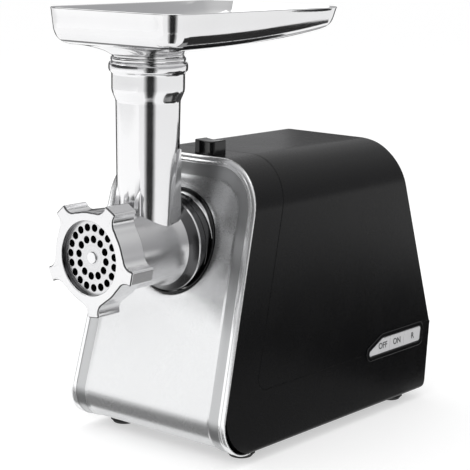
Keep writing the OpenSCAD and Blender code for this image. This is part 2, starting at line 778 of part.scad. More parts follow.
module commutator() color(copper) along(comm_y, comm_y + comm_w) translate(at_a) difference() {
  circle(r = comm_r);
  circle(r = shaft_r);
  for (k = [0 : 23]) rotate(k * 15) translate([comm_r - 0.8, -0.25]) square([2, 0.5]);
}

module cooling_fan() color([0.15, 0.15, 0.16]) {
  pipe(at_a, fan_y, fan_y + 2, 29, shaft_r);
  pipe(at_a, fan_y + 2 - eps, fan_y + fan_w, 8, shaft_r);
  along(fan_y + 2 - eps, fan_y + fan_w) translate(at_a) for (k = [0 : 11]) rotate(k * 30)
    translate([7, -0.75]) square([21.5, 1.5]);
}

module stator_core() color(grey) along(stator_y, stator_end) translate(at_a) difference() {
  intersection() {
    circle(r = stator_r);
    square([stator_r * 2, stator_r * 1.84], center = true);
  }
  circle(r = rotor_r + air_gap);
  for (s = [-1, 1]) translate([0, s * (rotor_r + 1.5)]) {
    square([31, 9], center = true);
    for (t = [-1, 1]) translate([t * 15.5, 0]) circle(r = 4.5);
  }
  for (a = bolt_at) translate(bolt_r * [cos(a), sin(a)]) circle(r = 2.2);
}

module field_coils() color(copper) for (y = [stator_y - 8, stator_end + 0.1], s = [0, 180])
  translate([at_a[0], y + 7.9, at_a[1]]) rotate([90, 0, 0]) rotate([0, 0, s + 28]) rotate_extrude(angle = 124) {
    translate([rotor_r + 2.4, 0]) square([4.8, 7.8]);
  }

module motor_end_frame() color(grey) difference() {
  union() {
    along(end_frame_y, end_frame_y + end_frame_t) translate(at_a) {
      circle(r = 14);
      for (a = bolt_at) rotate(a) {
        translate([0, -6]) square([bolt_r, 12]);
        translate([bolt_r, 0]) circle(r = 6);
      }
    }
    for (a = bolt_at) pipe(at_a + bolt_r * [cos(a), sin(a)], stator_end + 0.05, end_frame_y + 1, 4, 2.2);
  }
  bar(at_a, end_frame_y - 1, end_frame_y + end_frame_t + 1, 9.05);
  for (a = bolt_at) bar(at_a + bolt_r * [cos(a), sin(a)], end_frame_y - 1, end_frame_y + end_frame_t + 1, 2.2);
}

module motor_bolts() color(steel) for (a = bolt_at)
  translate([at_a[0] + bolt_r * cos(a), end_frame_y + end_frame_t + 3.05, at_a[1] + bolt_r * sin(a)]) rotate([90, 0, 0])
    screw(1.65, end_frame_y + end_frame_t - case_back_y - 1.5, 3.5, 3);

module motor_bearings() color([0.7, 0.55, 0.25]) {
  pipe(at_a, case_back_y, case_back_y + back_t + 4, 9, shaft_r + run_gap);
  pipe(at_a, end_frame_y, end_frame_y + end_frame_t, 9, shaft_r + run_gap);
}

module brush_holders() color([0.25, 0.25, 0.27]) for (s = [-1, 1]) difference() {
  translate([s > 0 ? comm_r + 1 : -comm_r - 17, comm_y + 2, motor_z - 4.5]) cube([16, comm_w + 3.9, 9]);
  translate([s > 0 ? comm_r - 1 : -comm_r - 16, comm_y + 3.5, motor_z - 2.6]) cube([17, 6.2, 5.2]);
}

module carbon_brushes() color([0.12, 0.12, 0.12]) for (s = [-1, 1])
  translate([s > 0 ? comm_r + 0.3 : -comm_r - 13.3, comm_y + 3.6, motor_z - 2.5]) cube([13, 6, 5]);

module motor_cradle() color(black) difference() {
  translate([0, (stator_y + stator_end) / 2, foot_h + wall + 2.15]) union() {
    block(78, 44, 3, 6);
    for (s = [-1, 1]) translate([0, s * 14, 0]) block(64, 8, motor_z - stator_r * 0.62 - foot_h - wall - 2.15, 2);
  }
  bar(at_a, stator_y - 5, stator_end + 5, stator_r + 0.1);
}

// ---- head -----------------------------------------------------------------

module grinder_barrel() color(polished) difference() {
  union() {
    bar([0, axis_z], mouth_y, ring_front_y + ring_l - 3, thread_r);
    bar([0, axis_z], ring_front_y + ring_l - 3.01, flange_y - flange_t, barrel_r);
    // flare into the flange
    translate([0, flange_y - flange_t - 6, axis_z]) rotate([-90, 0, 0]) cylinder(r1 = barrel_r, r2 = barrel_r + 4, h = 6.01);
    bar([0, axis_z], flange_y - flange_t, flange_y, flange_r);
    bar([0, axis_z], flange_y - eps, spigot_end_y, spigot_r);
    for (a = [20, 200]) bayonet_lug(a, flange_y + 9.5, spigot_end_y);
    // throat
    translate([0, throat_y, axis_z]) {
      cylinder(r1 = throat_foot_r - 0.5, r2 = throat_neck_r, h = throat_top - 28 - axis_z);
      translate([0, 0, throat_top - 28.01 - axis_z]) cylinder(r1 = throat_neck_r, r2 = cup_r, h = 7);
      translate([0, 0, throat_top - 21.02 - axis_z]) cylinder(r = cup_r, h = 14.1);
      translate([0, 0, throat_top - 9 - axis_z]) cylinder(r1 = cup_r, r2 = collar_r, h = 2.31);
      translate([0, 0, throat_top - 6.7 - axis_z]) cylinder(r = collar_r, h = 6.7);
    }
    // shoulder that joins the throat to the barrel
    across(2 * throat_foot_r) polygon([[throat_y, axis_z], [throat_y + 12, axis_z], [throat_y + 12, axis_z + 78],
                                       [throat_y + 10.6, axis_z + 76], [throat_y, axis_z + 22]]);
    for (s = [-1, 1]) translate([s * 10, 0, 0]) across(5)
      polygon([[throat_y, axis_z + 20], [throat_y - 25.5, axis_z + 20], [throat_y - 21, axis_z + 50], [throat_y, axis_z + 50]]);
  }
  // bore, seat of the cutting plate, throat bore and tray cup
  bar([0, axis_z], mouth_y - 1, bore_end_y, bore_r);
  bar([0, axis_z], mouth_y - 1, plate_rear_y, plate_r + fit);
  translate([-2.1, mouth_y - 1, axis_z + plate_r - 3]) cube([4.2, plate_t - 1, 4.6]);
  translate([0, throat_y, axis_z]) cylinder(r = throat_bore_r - 0.6, h = throat_top);
  translate([0, throat_y, axis_z + barrel_r + 1]) cylinder(r = throat_bore_r, h = throat_top);
  translate([0, throat_y, throat_top - cup_depth]) cylinder(r = spout_r + 0.3, h = cup_depth + 1);
  // bush seat and the hollow for the coupling
  bar([0, axis_z], bore_end_y - 1, flange_y, journal_r + 3);
  bar([0, axis_z], flange_y - 4, spigot_end_y + 1, output_r + 8);
  // annular path and notch for the lock tooth
  pipe([0, axis_z], flange_y - 3, flange_y + 1, tooth_r - 0.4, spigot_r + 1.2);
  translate([button_x - 4.4, flange_y - 3, axis_z + spigot_r]) cube([8.8, 4, tooth_low - spigot_r + 3.6]);
}

module barrel_bush() color(nylon) pipe([0, axis_z], bore_end_y + 0.1, flange_y - 4.1, journal_r + 2.9, journal_r + run_gap);

module auger() color(polished) {
  bar(at_d, plate_front_y - 1.2, plate_rear_y + 1, pin_r);
  along(plate_rear_y + 0.2, blade_rear_y + 1) translate(at_d) square(blade_sq - 0.2, center = true);
  bar(at_d, blade_rear_y + 0.2, bore_end_y - 0.4, core_r);
  bar(at_d, blade_rear_y + 0.2, blade_rear_y + 3, core_r + 3);
  bar(at_d, bore_end_y - 3.5, bore_end_y - 0.4, bore_r - auger_gap - 3);
  bar(at_d, bore_end_y - 0.5, flange_y - 3, journal_r);
  along(flange_y - 3.1, tang_end_y - 1) translate(at_d) square(tang_sq, center = true);
  auger_flight();
}

module auger_flight() {
  length = bore_end_y - 3.4 - blade_rear_y - 1;
  turns = length / auger_pitch;
  r = bore_r - auger_gap;
  arc = 66;
  along_flight = [for (i = [0 : 5]) let (a = -arc / 2 + arc * i / 5) r * [cos(a), sin(a)]];
  foot = [for (i = [0 : 3]) let (a = arc * 0.75 - arc * 1.5 * i / 3) (core_r - 2) * [cos(a), sin(a)]];
  translate([at_d[0], bore_end_y - 3.4, at_d[1]]) rotate([90, 0, 0])
    linear_extrude(length, twist = 360 * turns, slices = ceil(turns * 20)) polygon(concat(along_flight, foot));
}

module cutting_blade() color(steel) difference() {
  union() {
    bar(at_d, plate_rear_y + 0.1, blade_rear_y + 0.1, 9.5);
    for (k = [0 : 3]) translate([0, blade_rear_y + 0.1, axis_z]) rotate([0, k * 90, 0])
      rotate([90, 0, 0]) linear_extrude(blade_t)
        polygon([[0, -4.5], [12, -5.6], [bore_r - 1.2, -3.4], [bore_r - 1.2, 3.6], [12, 3.2], [0, 4.5]]);
  }
  along(plate_rear_y, blade_rear_y + 1) translate(at_d) square(blade_sq, center = true);
}

module plate_holes(r, n, at) for (k = [0 : n - 1]) rotate(at + k * 360 / n) translate([r, 0]) circle(r = plate_hole_r, $fn = 40);

module cutting_plate() color(steel) {
  along(plate_front_y, plate_rear_y) translate(at_d) difference() {
    circle(r = plate_r);
    circle(r = pin_r + 0.08);
    plate_holes(plate_outer_r, plate_outer_n, 84);
    plate_holes(plate_inner_r, plate_inner_n, 85);
  }
  translate([-2, mouth_y, axis_z + plate_r - 2.9]) cube([4, plate_t - 2.5, 4.2]);
}

module lug_outline() difference() {
  polygon([[ring_r - 6, -14], [lug_tip_r, -6.2], [lug_tip_r, 6.2], [ring_r - 6, 14]]);
  for (s = [-1, 1]) translate([lug_tip_r - 3, s * 14.2]) circle(r = 8.4);
}

module ring_nut() color(polished) difference() {
  along(ring_front_y, ring_front_y + ring_l) translate(at_d) {
    circle(r = ring_r);
    for (k = [0 : lug_n - 1]) rotate(lug_at + k * 360 / lug_n) lug_outline();
  }
  bar(at_d, ring_front_y - 1, ring_front_y + ring_l, ring_open_r);
  bar(at_d, plate_front_y - 0.3, ring_front_y + ring_l + 1, thread_r + 0.3);
}

// ---- tray -----------------------------------------------------------------

module tray_shell(d) intersection() {
  translate([0, throat_y - tray_fore + tray_l / 2, tray_top - 60])
    block(tray_w - 2 * d, tray_l - 2 * d, 60 + d * 2, tray_corner_r - d);
  across() translate([throat_y - tray_fore, tray_top - tray_d + d]) rotate(tray_slope) translate([-40, 0]) square([tray_l + 80, 90]);
}

module hopper_tray() color(polished) difference() {
  union() {
    intersection() {
      tray_shell(0);
      translate([-tray_w, -object_l, 0]) cube([tray_w * 2, object_l * 2, tray_top]);
    }
    // funnel up to the sloping bottom
    intersection() {
      translate([0, throat_y, throat_top + 0.6]) cylinder(r1 = spout_r + 1.2, r2 = tray_fore + 1.4, h = 19.5);
      translate([0, throat_y - tray_fore + tray_l / 2, 0]) block(tray_w, tray_l, tray_top, tray_corner_r);
    }
    translate([0, throat_y, throat_top - cup_depth + 1]) cylinder(r = spout_r, h = cup_depth);
    translate([0, throat_y, throat_top + 0.3]) cylinder(r = cup_r + 0.8, h = 3.2);
  }
  tray_shell(tray_t);
  translate([0, throat_y, throat_top + 1.1]) cylinder(r1 = spout_r - tray_t, r2 = tray_fore + 0.6, h = 19.8);
  translate([0, throat_y, throat_top - cup_depth]) cylinder(r = spout_r - tray_t, h = cup_depth + 3);
}

main_housing();
base_housing();
front_panel();
chassis_plate();
rubber_feet();
foot_screws();
cord_gland();
socket_collar();
head_socket();
release_button();
lock_plate();
lock_spring();
key_bezel();
key_off();
key_on();
key_reverse();
switch_block();
circuit_board();
gearbox_case();
gearbox_cover();
gearbox_screws();
gearbox_stand();
gear_bushes();
output_gear();
output_shaft();
second_gear();
second_shaft();
first_gear();
first_shaft();
motor_pinion();
motor_shaft();
rotor_core();
rotor_windings();
commutator();
cooling_fan();
stator_core();
field_coils();
motor_end_frame();
motor_bolts();
motor_bearings();
brush_holders();
carbon_brushes();
motor_cradle();
grinder_barrel();
barrel_bush();
auger();
cutting_blade();
cutting_plate();
ring_nut();
hopper_tray();
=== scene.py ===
"""Electric meat grinder: the visible pieces, finishes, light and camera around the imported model."""

import json
import logging
from dataclasses import dataclass
from enum import Enum
from math import atan, atan2, cos, degrees, hypot, pi, radians, sin, tan

import bmesh
import bpy
from mathutils import Matrix, Vector
from mathutils.geometry import delaunay_2d_cdt

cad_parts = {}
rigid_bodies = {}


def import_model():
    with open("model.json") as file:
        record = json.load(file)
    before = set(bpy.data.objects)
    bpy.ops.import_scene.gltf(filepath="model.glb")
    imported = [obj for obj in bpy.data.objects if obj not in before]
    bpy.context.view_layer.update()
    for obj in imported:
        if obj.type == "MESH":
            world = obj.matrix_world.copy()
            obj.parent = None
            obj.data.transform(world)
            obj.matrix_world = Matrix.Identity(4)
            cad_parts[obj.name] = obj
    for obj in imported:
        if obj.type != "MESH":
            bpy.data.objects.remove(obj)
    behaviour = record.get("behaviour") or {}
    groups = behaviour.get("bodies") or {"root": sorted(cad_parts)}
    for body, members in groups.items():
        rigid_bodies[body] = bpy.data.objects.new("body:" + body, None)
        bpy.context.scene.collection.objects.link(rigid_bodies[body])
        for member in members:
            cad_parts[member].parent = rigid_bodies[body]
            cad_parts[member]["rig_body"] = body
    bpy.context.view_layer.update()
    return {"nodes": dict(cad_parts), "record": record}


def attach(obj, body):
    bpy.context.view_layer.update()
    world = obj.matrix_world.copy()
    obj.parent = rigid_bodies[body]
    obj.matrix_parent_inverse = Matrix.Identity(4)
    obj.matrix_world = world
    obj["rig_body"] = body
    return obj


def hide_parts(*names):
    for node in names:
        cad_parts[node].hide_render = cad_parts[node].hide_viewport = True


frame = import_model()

LOG = logging.getLogger("grinder")
Point2 = tuple[float, float]
Point3 = tuple[float, float, float]
Line = tuple[Point2, ...]
Ring = list[Point3]
Face = tuple[int, ...]
Piece = bpy.types.Object
Node = bpy.types.Node
Tree = bpy.types.NodeTree
Socket = bpy.types.NodeSocket

# One millimetre in the scene's metres
MM = 0.001
# Place of the throat's upright axis along the object, in millimetres
THROAT_Y = -110.0
# Height of the drive axis
AXIS_Z = 166.6
# Lean of the side walls: how far they come in over the panel's height
WALL_TAPER = 9.2 / 226.6


# ---- finishes ----


class Grain(Enum):
    """How the small surface pattern of a finish runs."""

    MOULDED = "fine speckle of a moulded plastic"
    CAST = "soft waves of a polished casting"
    BRUSHED_Y = "fine lines along the object"
    BRUSHED_X = "fine lines across the object"
    TURNED = "fine rings about the drive axis"
    LAYERED = "stacked sheets along the drive axis"
    WOUND = "turns of wire"


def with_inputs(node: Node, **inputs: object) -> Node:
    """Sets inputs of a shader node.

    Args:
        node: The node.
        inputs: Values of its inputs, with underscores for spaces in their names.

    Returns:
        The node.
    """
    for name, value in inputs.items():
        node.inputs[name.replace("_", " ")].default_value = value
    return node


def add(tree: Tree, kind: str, **inputs: object) -> Node:
    """Adds a shader node of a kind, such as Bump, with some of its inputs set."""
    return with_inputs(tree.nodes.new(f"ShaderNode{kind}"), **inputs)


def principled(name: str) -> tuple[bpy.types.Material, Node]:
    """Makes a node material.

    Args:
        name: Its name.

    Returns:
        The material and its surface shader.
    """
    material = bpy.data.materials.new(name)
    material.use_nodes = True
    return material, material.node_tree.nodes["Principled BSDF"]


@dataclass(frozen=True)
class Finish:
    """One surface finish: two close colours in broad patches, its gloss and its small pattern.

    Size, relief and patches are in millimetres.
    """

    name: str
    colour: Point3
    second: Point3
    roughness: float
    spread: float = 0.04
    metallic: float = 0.0
    specular: float = 0.5
    coat: float = 0.0
    grain: Grain = Grain.MOULDED
    size: float = 0.8
    relief: float = 0.02
    patches: float = 40.0

    def material(self) -> bpy.types.Material:
        """Builds the node material of this finish, or returns the one made before.

        Returns:
            The material.
        """
        made = bpy.data.materials.get(self.name)
        if made:
            return made
        material, shader = principled(self.name)
        tree = material.node_tree
        with_inputs(shader, Metallic=self.metallic, Specular_IOR_Level=self.specular, Coat_Weight=self.coat,
                    Coat_Roughness=0.12)
        pattern = self._pattern(tree)
        patches = self._noise(tree, self.patches, 4.0)
        mix = add(tree, "Mix")
        mix.data_type = "RGBA"
        factor, first, second, result = 0, 6, 7, 2
        mix.inputs[first].default_value = (*self.colour, 1.0)
        mix.inputs[second].default_value = (*self.second, 1.0)
        both = add(tree, "Math")
        both.operation = "ADD"
        fit = add(tree, "MapRange", From_Min=0.6, From_Max=1.4, To_Max=self.roughness + self.spread,
                  To_Min=max(self.roughness - self.spread, 0.02))
        bump = add(tree, "Bump", Strength=0.6, Distance=self.relief * MM)
        for source, target in (
            (patches, mix.inputs[factor]), (mix.outputs[result], shader.inputs["Base Color"]),
            (patches, both.inputs[0]), (pattern, both.inputs[1]), (both.outputs[0], fit.inputs["Value"]),
            (fit.outputs["Result"], shader.inputs["Roughness"]), (pattern, bump.inputs["Height"]),
            (bump.outputs["Normal"], shader.inputs["Normal"]),
        ):
            tree.links.new(source, target)
        return material

    def _place(self, tree: Tree, pattern: Node, **mapped: Point3) -> Socket:
        """Lays a pattern on object coordinates.

        Args:
            tree: The material's nodes.
            pattern: The pattern's node.
            mapped: Scale or Location of the coordinates.

        Returns:
            The pattern's value.
        """
        place = add(tree, "TexCoord")
        mapping = add(tree, "Mapping", **mapped)
        tree.links.new(place.outputs["Object"], mapping.inputs["Vector"])
        tree.links.new(mapping.outputs["Vector"], pattern.inputs["Vector"])
        return pattern.outputs["Fac"]

    def _noise(self, tree: Tree, cell: float, detail: float, stretch: Point3 = (1.0, 1.0, 1.0)) -> Socket:
        """A noise pattern.

        Args:
            tree: The material's nodes.
            cell: Size of a cell.
            detail: Number of finer layers.
            stretch: Factor on each axis.

        Returns:
            The pattern's value.
        """
        noise = add(tree, "TexNoise", Scale=1000.0 / cell, Detail=detail)
        return self._place(tree, noise, Scale=stretch)

    def _bands(self, tree: Tree, rings: bool) -> Socket:
        """Parallel bands or rings about the drive axis.

        Args:
            tree: The material's nodes.
            rings: True for rings, False for bands along the axis.

        Returns:
            The pattern's value.
        """
        turns_in_unit = 20.0
        wave = add(tree, "TexWave", Scale=1000.0 / self.size / turns_in_unit, Distortion=0.3)
        wave.wave_type = "RINGS" if rings else "BANDS"
        if rings:
            wave.rings_direction = "Y"
        else:
            wave.bands_direction = "Y"
        return self._place(tree, wave, Location=(0.0, 0.0, -AXIS_Z * MM))

    def _pattern(self, tree: Tree) -> Socket:
        """The small pattern that the grain names.

        Args:
            tree: The material's nodes.

        Returns:
            The pattern's value.
        """
        if self.grain is Grain.TURNED:
            return self._bands(tree, True)
        if self.grain in (Grain.LAYERED, Grain.WOUND):
            return self._bands(tree, False)
        if self.grain is Grain.BRUSHED_Y:
            return self._noise(tree, self.size, 3.0, (1.0, 0.03, 1.0))
        if self.grain is Grain.BRUSHED_X:
            return self._noise(tree, self.size, 3.0, (0.03, 1.0, 1.0))
        return self._noise(tree, self.size, 2.0)


@dataclass(frozen=True)
class Metal(Finish):
    """A finish of bare metal."""

    metallic: float = 1.0


SATIN_BLACK = Finish("satin_black", (0.0032, 0.0032, 0.0035), (0.0045, 0.0045, 0.005), 0.27, 0.03, specular=0.17,
                     size=0.5, relief=0.008)
GLOSS_BLACK = Finish("gloss_black", (0.004, 0.004, 0.0045), (0.006, 0.006, 0.0065), 0.14, 0.03, specular=0.35,
                     coat=0.1, size=1.5, relief=0.004)
SATIN_SILVER = Finish("satin_silver", (0.7, 0.705, 0.712), (0.74, 0.745, 0.75), 0.27, 0.02, metallic=0.92,
                      size=0.35, relief=0.005)
# Painted shade: a darker copy of the panel's silver, laid on the sloping band round the field
PAINTED_SHADE_SILVER = Finish("painted_shade_silver", (0.46, 0.465, 0.47), (0.5, 0.505, 0.51), 0.3, 0.02, metallic=0.92, size=0.35,
                     relief=0.005)
# Painted highlight: a brighter copy of the panel's silver, laid on the rounded rim
PAINTED_HIGHLIGHT_SILVER = Finish("painted_highlight_silver", (0.84, 0.845, 0.85), (0.88, 0.885, 0.89), 0.2, 0.02, metallic=0.85, size=0.35,
                    relief=0.004)
POLISHED_CASTING = Metal("polished_casting", (0.74, 0.74, 0.75), (0.8, 0.8, 0.805), 0.12, 0.03, grain=Grain.CAST,
                         size=9, relief=0.05)
RING_CASTING = Metal("ring_casting", (0.71, 0.71, 0.72), (0.77, 0.77, 0.775), 0.2, 0.04, grain=Grain.CAST, size=7,
                     relief=0.05)
POLISHED_SHEET = Metal("polished_sheet", (0.72, 0.72, 0.725), (0.77, 0.77, 0.775), 0.09, 0.02,
                       grain=Grain.BRUSHED_Y, size=1.2, relief=0.003)
# Painted shade: a darker grey copy of the polished casting, laid on the barrel's body for its dim reflections
PAINTED_SHADE_CASTING = Metal("barrel_casting_painted_shade", (0.5, 0.5, 0.51), (0.58, 0.58, 0.585), 0.24, 0.04, grain=Grain.CAST,
                       size=7, relief=0.05)
# Painted shade: a near-black copy of the polished metal, laid on faces in shade or with dark reflections
PAINTED_SHADE_METAL = Metal("painted_shade_metal", (0.07, 0.07, 0.072), (0.1, 0.1, 0.103), 0.2, 0.04, grain=Grain.TURNED, size=0.9,
                   relief=0.01)
GROUND_STEEL = Metal("ground_steel", (0.62, 0.62, 0.63), (0.7, 0.7, 0.71), 0.3, 0.06, grain=Grain.TURNED,
                     size=0.6, relief=0.02)
# Painted shade: a near-black copy of the steel, laid on the walls of the holes
PAINTED_SHADE_BORE = Metal("painted_shade_bore", (0.02, 0.02, 0.021), (0.035, 0.035, 0.036), 0.4, 0.06, grain=Grain.TURNED,
                    size=0.6, relief=0.02)
CHROME_RING = Metal("chrome_ring", (0.8, 0.8, 0.81), (0.86, 0.86, 0.86), 0.1, 0.02, grain=Grain.TURNED, size=1,
                    relief=0.004)
KEY_SILVER = Finish("key_silver", (0.66, 0.66, 0.67), (0.74, 0.74, 0.75), 0.4, 0.04, metallic=0.15,
                    grain=Grain.BRUSHED_Y, size=0.5, relief=0.01)
LEGEND_INK = Finish("legend_ink", (0.02, 0.02, 0.022), (0.035, 0.035, 0.037), 0.5, size=0.4, relief=0.004)
SOFT_RUBBER = Finish("soft_rubber", (0.012, 0.012, 0.012), (0.02, 0.02, 0.02), 0.7, 0.08, size=0.7, relief=0.05)
DARK_PLASTIC = Finish("dark_plastic", (0.02, 0.02, 0.023), (0.03, 0.03, 0.033), 0.45, 0.06, size=0.6, relief=0.03)

FINISH_OF_SLOT: dict[str, Finish] = {
    "black_plastic": SATIN_BLACK, "silver_panel": SATIN_SILVER, "rubber": SOFT_RUBBER,
    "socket_metal": CHROME_RING, "button_plastic": GLOSS_BLACK, "key_plastic": KEY_SILVER,
    "dark_plastic": DARK_PLASTIC, "polished_aluminium": POLISHED_CASTING, "blade_steel": GROUND_STEEL,
    "tray_metal": POLISHED_SHEET,
    "zinc_steel": Metal("zinc_steel", (0.55, 0.56, 0.58), (0.66, 0.67, 0.68), 0.32, 0.08, grain=Grain.BRUSHED_X,
                        size=0.8, relief=0.01, patches=12),
    "board": Finish("board_green", (0.02, 0.09, 0.045), (0.025, 0.12, 0.06), 0.35, 0.05, size=1.5, relief=0.02,
                    patches=6),
    "cast_metal": Metal("cast_zinc", (0.42, 0.43, 0.44), (0.52, 0.53, 0.54), 0.42, 0.08, grain=Grain.CAST,
                        size=1.4, relief=0.09, patches=18),
    "sintered_bronze": Metal("oiled_bronze", (0.42, 0.26, 0.1), (0.55, 0.36, 0.16), 0.35, 0.08, size=0.5,
                             relief=0.03, patches=6),
    "gear_steel": Metal("gear_steel", (0.46, 0.46, 0.47), (0.56, 0.56, 0.57), 0.25, 0.06, grain=Grain.TURNED,
                        size=0.7, relief=0.015, patches=15),
    "nylon": Finish("natural_nylon", (0.72, 0.7, 0.62), (0.8, 0.78, 0.7), 0.4, 0.05, specular=0.4, size=1.2,
                    relief=0.02),
    "laminations": Metal("steel_sheets", (0.16, 0.16, 0.17), (0.3, 0.3, 0.32), 0.4, 0.08, grain=Grain.LAYERED,
                         size=1, relief=0.15, patches=10),
    "copper_wire": Metal("copper_turns", (0.62, 0.25, 0.1), (0.75, 0.36, 0.17), 0.3, 0.06, grain=Grain.WOUND,
                         size=1.2, relief=0.25, patches=8),
    "carbon": Finish("carbon_block", (0.02, 0.02, 0.02), (0.04, 0.04, 0.04), 0.6, 0.08, size=0.4, relief=0.03),
}


def slot_of(node: str) -> str:
    """The record's material slot of a CAD node."""
    for part in frame["record"]["subparts"]:
        if node in (part.get("node"), part.get("name")):
            return part.get("material_slot") or part.get("slot") or part.get("material")
    return "black_plastic"


# ---- mesh helpers ----


def into_scene(name: str, data: bpy.types.ID) -> Piece:
    """Puts a mesh, a camera or a lamp into the scene.

    Args:
        name: Name of the new object.
        data: What it shows.

    Returns:
        The object.
    """
    obj = bpy.data.objects.new(name, data)
    bpy.context.scene.collection.objects.link(obj)
    return obj


def new_object(name: str, verts: list[Point3], faces: list[Face]) -> Piece:
    """Makes a mesh object from points in millimetres.

    Args:
        name: Name of the piece.
        verts: Corner points, in millimetres.
        faces: Faces as lists of point numbers.

    Returns:
        The new object, smooth shaded.
    """
    mesh = bpy.data.meshes.new(name)
    mesh.from_pydata([(x * MM, y * MM, z * MM) for x, y, z in verts], [], faces)
    mesh.update()
    mesh.shade_smooth()
    return into_scene(name, mesh)


def bridge(rings: list[Ring], closed: bool = True) -> tuple[list[Point3], list[Face]]:
    """Joins rings of equal length with four-sided faces.

    Args:
        rings: The rings in order.
        closed: Whether the last ring joins the first.

    Returns:
        Points and faces.
    """
    n = len(rings[0])
    verts = [p for ring in rings for p in ring]
    faces = []
    for i in range(len(rings) if closed else len(rings) - 1):
        a, b = i * n, ((i + 1) % len(rings)) * n
        for j in range(n):
            k = (j + 1) % n
            faces.append((a + j, a + k, b + k, b + j))
    return verts, faces


def evaluated(obj: Piece) -> bpy.types.Mesh:
    """A new mesh of an object's shape with its modifiers."""
    bpy.context.view_layer.update()
    return bpy.data.meshes.new_from_object(obj.evaluated_get(bpy.context.evaluated_depsgraph_get()))


def outward(obj: Piece) -> None:
    """Turns a closed mesh's faces outwards."""
    bm = bmesh.new()
    bm.from_mesh(obj.data)
    bmesh.ops.recalc_face_normals(bm, faces=bm.faces)
    bm.to_mesh(obj.data)
    bm.free()


def closed_object(name: str, verts: list[Point3], faces: list[Face]) -> Piece:
    """Makes a closed mesh object with its faces outwards, as new_object does."""
    obj = new_object(name, verts, faces)
    outward(obj)
    return obj


def dress(obj: Piece, finish: Finish, slot: str, body: str, *nodes: str) -> Piece:
    """Gives a piece its finish and its body, and hides the CAD nodes that it stands for.

    Args:
        obj: The piece.
        finish: Its finish.
        slot: The record's material slot; not used.
        body: The CAD body that it moves with.
        nodes: CAD nodes that it stands for.

    Returns:
        The piece.
    """
    obj.data.materials.clear()
    obj.data.materials.append(finish.material())
    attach(obj, body)
    if nodes:
        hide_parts(*nodes)
    return obj


def shade_rows(obj: Piece, rows: tuple[int, ...], n: int) -> None:
    """Paints shade on whole rows of a lathed piece's faces, with a near-black copy of the metal.

    Args:
        obj: The piece.
        rows: Numbers of the rows.
        n: Number of faces in a row.
    """
    obj.data.materials.append(PAINTED_SHADE_METAL.material())
    for row in rows:
        for face in range(row * n, (row + 1) * n):
            obj.data.polygons[face].material_index = 1


def from_axis(face: bpy.types.MeshPolygon) -> Point2:
    """Distance of a face's middle from the drive axis and its place along it, in millimetres."""
    c = face.center / MM
    return hypot(c.x, c.z - AXIS_Z), c.y


def even_shading(obj: Piece, weight: int = 50) -> None:
    """Lets the large faces set the shading; weight says by how much."""
    even = obj.modifiers.new("even_shading", "WEIGHTED_NORMAL")
    even.keep_sharp = True
    even.weight = weight


def round_edges(obj: Piece, width: float, segments: int) -> None:
    """Rounds the sharp edges and evens the shading of the flat faces.

    Args:
        obj: The piece.
        width: Width of the rounding, in millimetres.
        segments: Number of steps in the rounding.
    """
    bevel = obj.modifiers.new("rounding", "BEVEL")
    bevel.width = width * MM
    bevel.segments = segments
    bevel.limit_method = "ANGLE"
    bevel.angle_limit = radians(28.0)
    bevel.use_clamp_overlap = False
    bevel.harden_normals = False
    even_shading(obj, 80)


def from_cad(node: str, name: str, width: float, segments: int = 3) -> Piece:
    """Copies a CAD node's shape into a new piece with clean faces and rounded edges.

    Args:
        node: The CAD node.
        name: Name of the new piece.
        width: Width of the rounding, in millimetres.
        segments: Number of steps in the rounding.

    Returns:
        The new piece.
    """
    mesh = frame["nodes"][node].data.copy()
    mesh.name = name
    for spare in ("custom_normal", "sharp_edge", "sharp_face"):
        if spare in mesh.attributes:
            mesh.attributes.remove(mesh.attributes[spare])
    same_point = 0.003 * MM
    bm = bmesh.new()
    bm.from_mesh(mesh)
    bmesh.ops.remove_doubles(bm, verts=bm.verts, dist=same_point)
    bmesh.ops.dissolve_degenerate(bm, edges=bm.edges, dist=same_point)
    bmesh.ops.dissolve_limit(bm, angle_limit=radians(0.3), verts=bm.verts, edges=bm.edges)
    bm.to_mesh(mesh)
    bm.free()
    mesh.shade_smooth()
    mesh.set_sharp_from_angle(angle=radians(35.0))
    obj = into_scene(name, mesh)
    round_edges(obj, width, segments)
    return obj


def arc(centre: Point2, radius: float, start: float, end: float, steps: int) -> list[Point2]:
    """Points along an arc.

    Args:
        centre: Centre of the arc.
        radius: Its radius.
        start: First angle, in degrees.
        end: Last angle, in degrees.
        steps: Number of steps.

    Returns:
        The points, ends included.
    """
    return [
        (centre[0] + radius * cos(radians(start + (end - start) * i / steps)),
         centre[1] + radius * sin(radians(start + (end - start) * i / steps)))
        for i in range(steps + 1)
    ]


# ---- sub-assemblies ----


